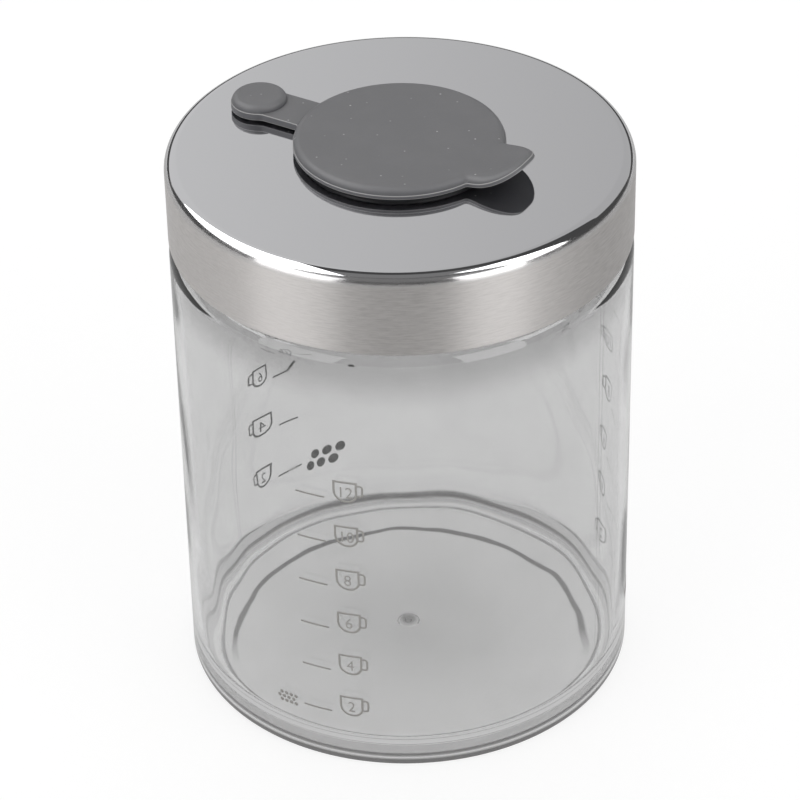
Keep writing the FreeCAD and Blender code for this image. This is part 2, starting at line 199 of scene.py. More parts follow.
def mesh_object(
    name: str, points: Sequence[Sequence[float]], faces: Sequence[Sequence[int]]
) -> bpy.types.Object:
    """Make a smooth-shaded mesh object from points in millimetres.

    Args:
        name: The piece's name.
        points: Its vertices, in millimetres, in the part's frame.
        faces: Its faces, as indices of vertices.

    Returns:
        The new object, linked to the scene.
    """
    mesh = bpy.data.meshes.new(name)
    mesh.from_pydata([(x * MM, y * MM, z * MM) for x, y, z in points], [], faces)
    mesh.update()
    mesh.shade_smooth()
    return linked(name, mesh)


def sharpen(made: bpy.types.Object, angle: float = 30.0) -> None:
    """Keep the edges that turn by more than an angle crisp in the shading."""
    made.data.set_sharp_from_angle(angle=math.radians(angle))


def spun(
    name: str,
    profile: Profile,
    segments: int,
    shift: Callable[[float, float, float, int], float] | None = None,
    centre: Point = (0.0, 0.0),
    closed: bool = False,
) -> bpy.types.Object:
    """Turn a profile once round an upright axis.

    The profile runs with the body on its left, so that the faces point outwards. An end that
    lies on the axis becomes one point.

    Args:
        name: The piece's name.
        profile: Radius and height of each point, in millimetres.
        segments: How many steps the turn has.
        shift: Gives a radial shift from radius, height, angle and point number.
        centre: Where the axis stands, x and y.
        closed: Whether the profile is a loop clear of the axis.

    Returns:
        The new object.
    """
    points: list[tuple[float, float, float]] = []
    rings: list[list[int]] = []
    for number, (radius, height) in enumerate(profile):
        if radius < 1e-6:
            rings.append([len(points)] * segments)
            points.append((centre[0], centre[1], height))
            continue
        rings.append(list(range(len(points), len(points) + segments)))
        for step in range(segments):
            angle = 2 * math.pi * step / segments
            r = radius + (shift(radius, height, angle, number) if shift else 0.0)
            points.append((centre[0] + r * math.cos(angle), centre[1] + r * math.sin(angle), height))
    faces = []
    pairs = list(zip(rings, rings[1:]))
    if closed:
        pairs.append((rings[-1], rings[0]))
    for lower, upper in pairs:
        for step in range(segments):
            after = (step + 1) % segments
            corners = [lower[step], lower[after], upper[after], upper[step]]
            face = list(dict.fromkeys(corners))
            if len(face) > 2:
                faces.append(face)
    return mesh_object(name, points, faces)


def joined(name: str, parts: Sequence[bpy.types.Object]) -> bpy.types.Object:
    """Join several objects' meshes into one object.

    Args:
        name: The joined piece's name.
        parts: The objects; they are removed afterwards.

    Returns:
        The joined object.
    """
    whole = bmesh.new()
    for part in parts:
        whole.from_mesh(part.data)
    mesh = bpy.data.meshes.new(name)
    whole.to_mesh(mesh)
    whole.free()
    for part in parts:
        for slot in part.data.materials:
            if slot is not None and slot.name not in mesh.materials:
                mesh.materials.append(slot)
        old = part.data
        bpy.data.objects.remove(part)
        bpy.data.meshes.remove(old)
    return linked(name, mesh)


def dress(piece: bpy.types.Object, material: bpy.types.Material) -> None:
    """Give a piece one material."""
    piece.data.materials.clear()
    piece.data.materials.append(material)


class Repeat:
    """A Geometry Nodes tree that repeats a piece along the axis or round it."""

    def __init__(self, material: bpy.types.Material) -> None:
        """Build the tree.

        Args:
            material: The finish of the repeated piece.
        """
        tree = bpy.data.node_groups.new("repeat_along_axis", "GeometryNodeTree")
        face = tree.interface
        face.new_socket("Geometry", in_out="INPUT", socket_type="NodeSocketGeometry")
        face.new_socket("Count", in_out="INPUT", socket_type="NodeSocketInt")
        face.new_socket("Rise", in_out="INPUT", socket_type="NodeSocketFloat")
        face.new_socket("Turn", in_out="INPUT", socket_type="NodeSocketFloat")
        face.new_socket("Geometry", in_out="OUTPUT", socket_type="NodeSocketGeometry")
        given = add_node(tree, "NodeGroupInput").outputs
        step = add_node(tree, "ShaderNodeCombineXYZ", inputs={"Z": given["Rise"]})
        line = add_node(
            tree,
            "GeometryNodeMeshLine",
            {"mode": "OFFSET"},
            {"Count": given["Count"], "Offset": step.outputs[0]},
        )
        number = add_node(tree, "GeometryNodeInputIndex").outputs[0]
        turned = add_node(
            tree, "ShaderNodeMath", {"operation": "MULTIPLY"}, {0: number, 1: given["Turn"]}
        )
        turn = add_node(tree, "ShaderNodeCombineXYZ", inputs={"Z": turned.outputs[0]})
        placed = add_node(
            tree,
            "GeometryNodeInstanceOnPoints",
            inputs={
                "Points": line.outputs["Mesh"],
                "Instance": given["Geometry"],
                "Rotation": turn.outputs[0],
            },
        )
        solid = add_node(tree, "GeometryNodeRealizeInstances", inputs={"Geometry": placed.outputs[0]})
        dressed = add_node(
            tree,
            "GeometryNodeSetMaterial",
            inputs={"Geometry": solid.outputs[0], "Material": material},
        )
        add_node(tree, "NodeGroupOutput", inputs={"Geometry": dressed.outputs[0]})
        self.tree = tree

    def apply(
        self, piece: bpy.types.Object, count: int, rise: float = 0.0, turn: float = 0.0
    ) -> bpy.types.Object:
        """Repeat a piece and turn the result into its plain mesh.

        Args:
            piece: The piece to repeat.
            count: How many there are in all.
            rise: Step along the axis, in millimetres.
            turn: Step round the axis, in degrees.

        Returns:
            The same object with its new mesh.
        """
        modifier = piece.modifiers.new("repeat", "NODES")
        modifier.node_group = self.tree
        values = {"Count": count, "Rise": rise * MM, "Turn": math.radians(turn)}
        for item in self.tree.interface.items_tree:
            if item.in_out == "INPUT" and item.name in values:
                modifier[item.identifier] = values[item.name]
        graph = bpy.context.evaluated_depsgraph_get()
        mesh = bpy.data.meshes.new_from_object(piece.evaluated_get(graph))
        piece.modifiers.remove(modifier)
        piece.data = mesh
        return piece


# Finishes


@dataclass(frozen=True)
class SmokyCopolyester:
    """Blow-moulded clear copolyester with a grey tint: glossy, with a few scuffs.

    Lengths are in millimetres. A share says how far the plastic goes to the dark tint.
    """

    tint: str = "#E1E1E1"
    # The dark tint serves the plastic's own marks and painted shade alike.
    dark: str = "#3E3D3D"
    # The underside's lighter tint is painted light, which brightens the shaded floor seen through it.
    frosted_tint: str = "#FFFFFF"
    shadow_tint: str = "#B9B8B8"
    ior: float = 1.55
    roughness: float = 0.015
    scuff_roughness: float = 0.09
    scuff_size: float = 6.25
    frost: float = 0.6
    underside_height: float = 2.5
    haze_radius: float = 36.0
    haze_share: float = 0.16
    gate_radius: float = 2.2
    gate_share: float = 0.5
    insert_radius: float = 38.0
    insert_centre: tuple[float, float, float] = (2.6, -4.4, 0.9)
    insert_half: float = 0.95
    insert_wave: float = 3.6
    insert_faint: float = 0.06
    wobble_size: float = 16.667
    clear_side: tuple[float, float, float] = (-0.515, 0.857, 0.0)
    clear_from: float = -14.0
    clear_to: float = -4.0
    step_radius: float = 42.0
    step_half: float = 0.7
    heel_middle: float = 1.1
    heel_half: float = 1.5
    parting_across: tuple[float, float, float] = (0.0314, 0.9995, 0.0)
    parting_half: float = 0.2
    parting_share: float = 0.32
    neck_from: float = 90.0
    neck_to: float = 101.0
    neck_share: float = 0.34
    cloud_size: float = 12.5
    cloud_share: float = 0.04

    def material(self, underside: bool = False) -> bpy.types.Material:
        """Build the material; lamps shine through it with the shadow tint.

        Args:
            underside: Whether this is the underside, which the mould's fine texture frosts; its lighter
                tint is painted light that brightens the shaded floor seen through it.
        """
        name = "smoky_copolyester_underside" if underside else "smoky_copolyester"
        material, tree = empty_material(name)
        place = add_node(tree, "ShaderNodeTexCoord").outputs["Object"]
        # Scuffs from handling show as a faint change of gloss, about 6 mm across.
        scuffs = add_node(
            tree,
            "ShaderNodeTexNoise",
            inputs={
                "Vector": place,
                "Scale": 1 / (self.scuff_size * MM),
                "Detail": 4.0,
                "Roughness": 0.6,
            },
        )
        gloss = add_node(
            tree,
            "ShaderNodeMapRange",
            inputs={
                "Value": scuffs.outputs["Fac"],
                "From Min": 0.55,
                "From Max": 0.8,
                "To Min": self.roughness,
                "To Max": self.scuff_roughness,
            },
        )
        parts = add_node(tree, "ShaderNodeSeparateXYZ", inputs={"Vector": place}).outputs
        flat = add_node(tree, "ShaderNodeCombineXYZ", inputs={"X": parts["X"], "Y": parts["Y"]})
        reach = add_node(
            tree, "ShaderNodeVectorMath", {"operation": "LENGTH"}, {0: flat.outputs[0]}
        ).outputs["Value"]
        below = band(tree, parts["Z"], 0.0, self.underside_height * MM, 1.0)
        marks = self.marks(tree, place, parts, reach, below)
        # Painted light: the underside takes a lighter tint than the wall.
        colour = add_node(
            tree,
            "ShaderNodeMix",
            {"data_type": "RGBA"},
            {
                "Factor": marks,
                "A": linear(self.frosted_tint if underside else self.tint),
                "B": linear(self.dark),
            },
        ).outputs["Result"]
        plastic = add_node(
            tree,
            "ShaderNodeBsdfPrincipled",
            inputs={
                "Base Color": colour,
                "Roughness": self.frost if underside else gloss.outputs[0],
                "IOR": self.ior,
                "Transmission Weight": 1.0,
            },
        )
        through = add_node(
            tree, "ShaderNodeBsdfTransparent", inputs={"Color": linear(self.shadow_tint)}
        )
        path = add_node(tree, "ShaderNodeLightPath").outputs
        mixed = add_node(
            tree,
            "ShaderNodeMixShader",
            inputs={0: path["Is Shadow Ray"], 1: plastic.outputs[0], 2: through.outputs[0]},
        )
        finish_material(tree, mixed.outputs[0])
        return material

    def marks(
        self,
        tree: bpy.types.NodeTree,
        place: bpy.types.NodeSocket,
        parts: bpy.types.NodeOutputs,
        reach: bpy.types.NodeSocket,
        below: bpy.types.NodeSocket,
    ) -> bpy.types.NodeSocket:
        """Say where the plastic is darker: its own tone, painted shade, and a painted refraction line.

        Args:
            tree: The node tree.
            place: Object coordinates.
            parts: The same, split into X, Y and Z.
            reach: Distance from the jar's axis.
            below: 1 on the underside, 0 above it.

        Returns:
            The share of the dark tint.
        """
        # The floor gets thicker towards the gate mark, whose scarred core is 4.4 mm across.
        haze = add_node(
            tree,
            "ShaderNodeMapRange",
            {"interpolation_type": "SMOOTHSTEP"},
            {
                "Value": reach,
                "From Max": self.haze_radius * MM,
                "To Min": self.haze_share,
                "To Max": 0.0,
            },
        ).outputs[0]
        core = band(tree, reach, 0.0, self.gate_radius * MM, self.gate_share)
        # A painted refraction line: a wavy dark line 1 to 2 mm wide on the floor, clearest at the far
        # side.
        # Painted shade darkens a step inside the standing ring and the heel.
        wobble = add_node(
            tree,
            "ShaderNodeTexNoise",
            inputs={"Vector": place, "Scale": 1 / (self.wobble_size * MM), "Detail": 2.0},
        ).outputs["Fac"]
        shifted = add_node(
            tree,
            "ShaderNodeVectorMath",
            {"operation": "SUBTRACT"},
            {0: place, 1: [v * MM for v in self.insert_centre]},
        ).outputs["Vector"]
        from_refraction_line_centre = add_node(
            tree, "ShaderNodeVectorMath", {"operation": "LENGTH"}, {0: shifted}
        ).outputs["Value"]
        wavy = add_node(
            tree,
            "ShaderNodeMath",
            {"operation": "MULTIPLY_ADD"},
            {0: wobble, 1: self.insert_wave * MM, 2: from_refraction_line_centre},
        ).outputs[0]
        middle = self.insert_radius + self.insert_wave / 2
        refraction_line_band = band(tree, wavy, middle * MM, self.insert_half * MM, 1.0)
        # The painted refraction line is strongest on the side away from the camera and faint towards it.
        behind = add_node(
            tree,
            "ShaderNodeVectorMath",
            {"operation": "DOT_PRODUCT"},
            {0: place, 1: self.clear_side},
        ).outputs["Value"]
        clear = add_node(
            tree,
            "ShaderNodeMapRange",
            inputs={
                "Value": behind,
                "From Min": self.clear_from * MM,
                "From Max": self.clear_to * MM,
                "To Min": self.insert_faint,
                "To Max": 1.0,
            },
        ).outputs[0]
        painted_refraction_line = add_node(
            tree, "ShaderNodeMath", {"operation": "MULTIPLY"}, {0: refraction_line_band, 1: clear}
        ).outputs[0]
        # Painted shade: a dark ring inside the standing ring, where the floor under the push-up lies in
        # shade.
        step = band(tree, reach, self.step_radius * MM, self.step_half * MM, 1.0)
        lines = add_node(
            tree, "ShaderNodeMath", {"operation": "MAXIMUM"}, {0: painted_refraction_line, 1: step}
        ).outputs[0]
        ringed = add_node(
            tree, "ShaderNodeMath", {"operation": "MULTIPLY"}, {0: lines, 1: below}
        ).outputs[0]
        # Painted shade: a dark band round the heel, where the floor at the jar's foot lies in shade.
        heel = band(tree, parts["Z"], self.heel_middle * MM, self.heel_half * MM, 1.0)
        # The mould's parting line runs down the wall, and painted shade darkens the neck under the lid.
        across = add_node(
            tree,
            "ShaderNodeVectorMath",
            {"operation": "DOT_PRODUCT"},
            {0: place, 1: self.parting_across},
        ).outputs["Value"]
        thin = band(tree, across, 0.0, self.parting_half * MM, self.parting_share)
        wall = add_node(
            tree,
            "ShaderNodeMath",
            {"operation": "GREATER_THAN"},
            {0: reach, 1: (self.step_radius + 2.5) * MM},
        ).outputs[0]
        parting = add_node(
            tree, "ShaderNodeMath", {"operation": "MULTIPLY"}, {0: thin, 1: wall}
        ).outputs[0]
        foot = add_node(
            tree, "ShaderNodeMath", {"operation": "MULTIPLY"}, {0: heel, 1: wall}
        ).outputs[0]
        neck = add_node(
            tree,
            "ShaderNodeMapRange",
            {"interpolation_type": "SMOOTHSTEP"},
            {
                "Value": parts["Z"],
                "From Min": self.neck_from * MM,
                "From Max": self.neck_to * MM,
                "To Max": self.neck_share,
            },
        ).outputs[0]
        # Slow clouds in the blown wall, about 12 mm across.
        clouds = add_node(
            tree,
            "ShaderNodeTexNoise",
            inputs={
                "Vector": place,
                "Scale": 1 / (self.cloud_size * MM),
                "Detail": 3.0,
                "Roughness": 0.55,
            },
        ).outputs["Fac"]
        total = add_node(
            tree,
            "ShaderNodeMapRange",
            inputs={
                "Value": clouds,
                "From Min": 0.35,
                "From Max": 0.75,
                "To Max": self.cloud_share,
            },
        ).outputs[0]
        for mark in (haze, core, ringed, foot, parting, neck):
            total = add_node(
                tree, "ShaderNodeMath", {"operation": "ADD", "use_clamp": True}, {0: total, 1: mark}
            ).outputs[0]
        return total


@dataclass(frozen=True)
class DrawnStainless:
    """Stainless steel sheet: a polished top, and a skirt with a fine satin grain round it."""

    colour: str = "#C9C9CB"
    skirt_colour: str = "#D0CDCB"
    groove_colour: str = "#8A8786"
    top_roughness: float = 0.03
    skirt_roughness: float = 0.42
    top_streaks: float = 0.03
    skirt_streaks: float = 0.3
    grain: float = 0.35
    grains_per_radian: float = 14.0
    grain_bump: float = 0.18
    groove_share: float = 0.2
    cloud_size: float = 25.0
    anisotropy: float = 0.85
    quarter_turn: float = 0.25

    def material(self, top_z: float, edge: float) -> bpy.types.Material:
        """Build the material.

        Args:
            top_z: Height of the lid's top, in millimetres.
            edge: Round of the lid's top edge, in millimetres.
        """
        material, tree = empty_material("drawn_stainless")
        place = add_node(tree, "ShaderNodeTexCoord").outputs["Object"]
        parts = add_node(tree, "ShaderNodeSeparateXYZ", inputs={"Vector": place}).outputs
        # 0 on the polished top, 1 on the satin skirt; the rounded edge goes from one to the other.
        satin = add_node(
            tree,
            "ShaderNodeMapRange",
            inputs={
                "Value": parts["Z"],
                "From Min": (top_z - edge * 1.1) * MM,
                "From Max": (top_z - edge * 0.1) * MM,
                "To Min": 1.0,
                "To Max": 0.0,
            },
        ).outputs[0]
        # The grain's lines run round the skirt. The real ones are finer; these are 0.35 mm apart
        # up the wall, so that they show, and each goes about a fourteenth of a radian round it.
        angle = add_node(
            tree, "ShaderNodeMath", {"operation": "ARCTAN2"}, {0: parts["Y"], 1: parts["X"]}
        ).outputs[0]
        unrolled = add_node(tree, "ShaderNodeCombineXYZ", inputs={"X": angle, "Y": parts["Z"]})
        stretched = add_node(
            tree,
            "ShaderNodeMapping",
            inputs={
                "Vector": unrolled.outputs[0],
                "Scale": (self.grains_per_radian, 1.0 / (self.grain * MM), 1.0),
            },
        )
        lines = add_node(
            tree,
            "ShaderNodeTexNoise",
            {"noise_dimensions": "2D"},
            {"Vector": stretched.outputs[0], "Scale": 1.0, "Detail": 3.0, "Roughness": 0.65},
        ).outputs["Fac"]
        # Soft clouds, about 25 mm across, as such polished sheet has.
        clouds = add_node(
            tree,
            "ShaderNodeTexNoise",
            inputs={
                "Vector": place,
                "Scale": 1 / (self.cloud_size * MM),
                "Detail": 3.0,
                "Roughness": 0.5,
            },
        ).outputs["Fac"]
        clouded = add_node(
            tree,
            "ShaderNodeMapRange",
            inputs={
                "Value": clouds,
                "From Min": 0.3,
                "From Max": 0.7,
                "To Min": -0.01,
                "To Max": 0.015,
            },
        ).outputs[0]
        rough_base = add_node(
            tree,
            "ShaderNodeMapRange",
            inputs={
                "Value": satin,
                "To Min": self.top_roughness,
                "To Max": self.skirt_roughness,
            },
        ).outputs[0]
        centred = add_node(
            tree, "ShaderNodeMath", {"operation": "SUBTRACT"}, {0: lines, 1: 0.5}
        ).outputs[0]
        streaks = add_node(
            tree,
            "ShaderNodeMapRange",
            inputs={"Value": satin, "To Min": self.top_streaks, "To Max": self.skirt_streaks},
        ).outputs[0]
        rough_lines = add_node(
            tree,
            "ShaderNodeMath",
            {"operation": "MULTIPLY_ADD"},
            {0: centred, 1: streaks, 2: rough_base},
        ).outputs[0]
        rough = add_node(
            tree,
            "ShaderNodeMath",
            {"operation": "ADD", "use_clamp": True},
            {0: rough_lines, 1: clouded},
        ).outputs[0]
        strength = add_node(
            tree, "ShaderNodeMath", {"operation": "MULTIPLY"}, {0: satin, 1: self.grain_bump}
        ).outputs[0]
        bump = add_node(
            tree,
            "ShaderNodeBump",
            inputs={"Height": lines, "Strength": strength, "Distance": 0.02 * MM},
        )
        around = add_node(
            tree, "ShaderNodeTangent", {"direction_type": "RADIAL", "axis": "Z"}
        ).outputs[0]
        # The satin skirt looks a little warmer than the polished top.
        colour = add_node(
            tree,
            "ShaderNodeMix",
            {"data_type": "RGBA"},
            {"Factor": satin, "A": linear(self.colour), "B": linear(self.skirt_colour)},
        ).outputs["Result"]
        worn = add_node(
            tree,
            "ShaderNodeMapRange",
            inputs={
                "Value": lines,
                "From Min": 0.35,
                "From Max": 0.7,
                "To Max": self.groove_share,
            },
        ).outputs[0]
        scored = add_node(
            tree, "ShaderNodeMath", {"operation": "MULTIPLY"}, {0: satin, 1: worn}
        ).outputs[0]
        streaked = add_node(
            tree,
            "ShaderNodeMix",
            {"data_type": "RGBA"},
            {"Factor": scored, "A": colour, "B": linear(self.groove_colour)},
        ).outputs["Result"]
        steel = add_node(
            tree,
            "ShaderNodeBsdfPrincipled",
            inputs={
                "Base Color": streaked,
                "Metallic": 1.0,
                "Roughness": rough,
                "Anisotropic": self.anisotropy,
                "Anisotropic Rotation": self.quarter_turn,
                "Tangent": around,
                "Normal": bump.outputs[0],
            },
        )
        finish_material(tree, steel.outputs[0])
        return material


@dataclass(frozen=True)
class Silicone:
    """Moulded silicone rubber: matt, a little soft in its shine, with dust, fine mould grain, painted
    highlights on its lips and painted shade on its sides.
    """

    colour: str = "#676769"
    # The side colour is painted shade, darker than the faces that look up.
    side: str = "#565659"
    dust: str = "#B4B3B2"
    roughness: float = 0.52
    ior: float = 1.43
    grain_size: float = 0.3125
    grain_bump: float = 0.12
    bloom_size: float = 8.333
    dust_share: float = 0.04
    speck_gap: float = 7.143
    speck_radius: float = 0.243
    speck_share: float = 0.9
    lip_share: float = 0.6

    def material(self, name: str) -> bpy.types.Material:
        """Build the material under a name of its own."""
        material, tree = empty_material(name)
        place = add_node(tree, "ShaderNodeTexCoord").outputs["Object"]
        # Mould grain about 0.3 mm across.
        grain = add_node(
            tree,
            "ShaderNodeTexNoise",
            inputs={"Vector": place, "Scale": 1 / (self.grain_size * MM), "Detail": 2.0},
        ).outputs["Fac"]
        # Handling leaves a slightly paler bloom in patches about 8 mm across.
        bloom = add_node(
            tree,
            "ShaderNodeTexNoise",
            inputs={
                "Vector": place,
                "Scale": 1 / (self.bloom_size * MM),
                "Detail": 5.0,
                "Roughness": 0.65,
            },
        ).outputs["Fac"]
        patches = add_node(
            tree,
            "ShaderNodeMapRange",
            inputs={
                "Value": bloom,
                "From Min": 0.45,
                "From Max": 0.8,
                "To Min": 0.0,
                "To Max": self.dust_share,
            },
        ).outputs[0]
        # Dust specks, up to half a millimetre across and some 7 mm apart, some of them faint.
        specks = add_node(
            tree,
            "ShaderNodeTexVoronoi",
            {"feature": "F1", "voronoi_dimensions": "2D"},
            {"Vector": place, "Scale": 1 / (self.speck_gap * MM), "Randomness": 1.0},
        ).outputs
        strength = add_node(
            tree, "ShaderNodeSeparateColor", inputs={"Color": specks["Color"]}
        ).outputs["Red"]
        reach = self.speck_radius / self.speck_gap
        spot = band(tree, specks["Distance"], 0.0, reach, self.speck_share)
        speck = add_node(
            tree, "ShaderNodeMath", {"operation": "MULTIPLY"}, {0: spot, 1: strength}
        ).outputs[0]
        # A painted highlight, in the pale dust colour, runs along the edges of the moulding's thin lips.
        lips = add_node(tree, "ShaderNodeAttribute", {"attribute_name": LIP_HIGHLIGHT_LAYER}).outputs["Fac"]
        lip = add_node(
            tree, "ShaderNodeMath", {"operation": "MULTIPLY"}, {0: lips, 1: self.lip_share}
        ).outputs[0]
        dust_and_highlight_mask = patches
        for more in (speck, lip):
            dust_and_highlight_mask = add_node(
                tree, "ShaderNodeMath", {"operation": "MAXIMUM"}, {0: dust_and_highlight_mask, 1: more}
            ).outputs[0]
        # Painted shade: its sides are darker than its faces that look up.
        facing = add_node(
            tree,
            "ShaderNodeSeparateXYZ",
            inputs={"Vector": add_node(tree, "ShaderNodeTexCoord").outputs["Normal"]},
        ).outputs["Z"]
        upward = add_node(
            tree, "ShaderNodeMapRange", inputs={"Value": facing, "From Min": 0.1, "From Max": 0.7}
        ).outputs[0]
        painted_facing_shade = add_node(
            tree,
            "ShaderNodeMix",
            {"data_type": "RGBA"},
            {"Factor": upward, "A": linear(self.side), "B": linear(self.colour)},
        ).outputs["Result"]
        colour = add_node(
            tree,
            "ShaderNodeMix",
            {"data_type": "RGBA"},
            {"Factor": dust_and_highlight_mask, "A": painted_facing_shade, "B": linear(self.dust)},
        ).outputs["Result"]
        rough = add_node(
            tree,
            "ShaderNodeMapRange",
            inputs={
                "Value": grain,
                "To Min": self.roughness - 0.06,
                "To Max": self.roughness + 0.08,
            },
        ).outputs[0]
        bump = add_node(
            tree,
            "ShaderNodeBump",
            inputs={"Height": grain, "Strength": self.grain_bump, "Distance": 0.05 * MM},
        )
        rubber = add_node(
            tree,
            "ShaderNodeBsdfPrincipled",
            inputs={
                "Base Color": colour,
                "Roughness": rough,
                "IOR": self.ior,
                "Normal": bump.outputs[0],
            },
        )
        finish_material(tree, rubber.outputs[0])
        return material


@dataclass(frozen=True)
class MouldedPlastic:
    """Injection-moulded black plastic with a fine spark-eroded grain, as a lid's inside has."""

    colour: str = "#2B2B2D"
    roughness: float = 0.42
    grain_size: float = 0.5556

    def material(self) -> bpy.types.Material:
        """Build the material."""
        material, tree = empty_material("moulded_liner_plastic")
        place = add_node(tree, "ShaderNodeTexCoord").outputs["Object"]
        grain = add_node(
            tree,
            "ShaderNodeTexNoise",
            inputs={
                "Vector": place,
                "Scale": 1 / (self.grain_size * MM),
                "Detail": 3.0,
                "Roughness": 0.6,
            },
        ).outputs["Fac"]
        rough = add_node(
            tree,
            "ShaderNodeMapRange",
            inputs={
                "Value": grain,
                "To Min": self.roughness - 0.08,
                "To Max": self.roughness + 0.12,
            },
        ).outputs[0]
        bump = add_node(
            tree,
            "ShaderNodeBump",
            inputs={"Height": grain, "Strength": 0.2, "Distance": 0.06 * MM},
        )
        plastic = add_node(
            tree,
            "ShaderNodeBsdfPrincipled",
            inputs={
                "Base Color": linear(self.colour),
                "Roughness": rough,
                "Normal": bump.outputs[0],
            },
        )
        finish_material(tree, plastic.outputs[0])
        return material


@dataclass(frozen=True)
class ScreenInk:
    """Screen-printed grey ink: flat and pale outside, with painted shade on its inner face, thin here and
    there.
    """

    colour: str = "#8C8A87"
    thin: str = "#9A9894"
    first_coat: str = "#4B4B4A"
    patch_size: float = 1.4286

    def material(self, jar_radius: float, height: float) -> bpy.types.Material:
        """Build the material.

        Args:
            jar_radius: Radius of the printed wall, in millimetres.
            height: Height of the ink above it.
        """
        material, tree = empty_material("screen_ink")
        place = add_node(tree, "ShaderNodeTexCoord").outputs["Object"]
        patches = add_node(
            tree,
            "ShaderNodeTexNoise",
            inputs={
                "Vector": place,
                "Scale": 1 / (self.patch_size * MM),
                "Detail": 3.0,
                "Roughness": 0.7,
            },
        ).outputs["Fac"]
        colour = add_node(
            tree,
            "ShaderNodeMix",
            {"data_type": "RGBA"},
            {"Factor": patches, "A": linear(self.colour), "B": linear(self.thin)},
        ).outputs["Result"]
        # Painted shade: seen through the jar from behind, the ink's inner face is darker than its outer
        # face.
        parts = add_node(tree, "ShaderNodeSeparateXYZ", inputs={"Vector": place}).outputs
        level = add_node(tree, "ShaderNodeCombineXYZ", inputs={"X": parts["X"], "Y": parts["Y"]})
        reach = add_node(
            tree, "ShaderNodeVectorMath", {"operation": "LENGTH"}, {0: level.outputs[0]}
        ).outputs["Value"]
        outside = add_node(
            tree,
            "ShaderNodeMapRange",
            inputs={
                "Value": reach,
                "From Min": (jar_radius + height * 0.4) * MM,
                "From Max": (jar_radius + height * 0.8) * MM,
            },
        ).outputs[0]
        inner_shaded_colour = add_node(
            tree,
            "ShaderNodeMix",
            {"data_type": "RGBA"},
            {"Factor": outside, "A": linear(self.first_coat), "B": colour},
        ).outputs["Result"]
        rough = add_node(
            tree,
            "ShaderNodeMapRange",
            inputs={"Value": patches, "To Min": 0.45, "To Max": 0.7},
        ).outputs[0]
        ink = add_node(
            tree, "ShaderNodeBsdfPrincipled", inputs={"Base Color": inner_shaded_colour, "Roughness": rough}
        )
        finish_material(tree, ink.outputs[0])
        return material


@dataclass
class Finishes:
    """All finishes of the container, built once."""

    top_z: float
    cap_edge: float
    jar_radius: float
    ink_height: float = 0.025
    jar: bpy.types.Material = field(init=False)
    jar_under: bpy.types.Material = field(init=False)
    steel: bpy.types.Material = field(init=False)
    liner: bpy.types.Material = field(init=False)
    seal: bpy.types.Material = field(init=False)
    stopper: bpy.types.Material = field(init=False)
    ink: bpy.types.Material = field(init=False)

    def __post_init__(self) -> None:
        """Build the materials."""
        self.jar = SmokyCopolyester().material()
        self.jar_under = SmokyCopolyester().material(underside=True)
        self.steel = DrawnStainless().material(self.top_z, self.cap_edge)
        self.liner = MouldedPlastic().material()
        self.seal = Silicone(colour="#6A6A6E").material("seal_silicone")
        self.stopper = Silicone().material("stopper_silicone")
        self.ink = ScreenInk().material(self.jar_radius, self.ink_height)


# Jar


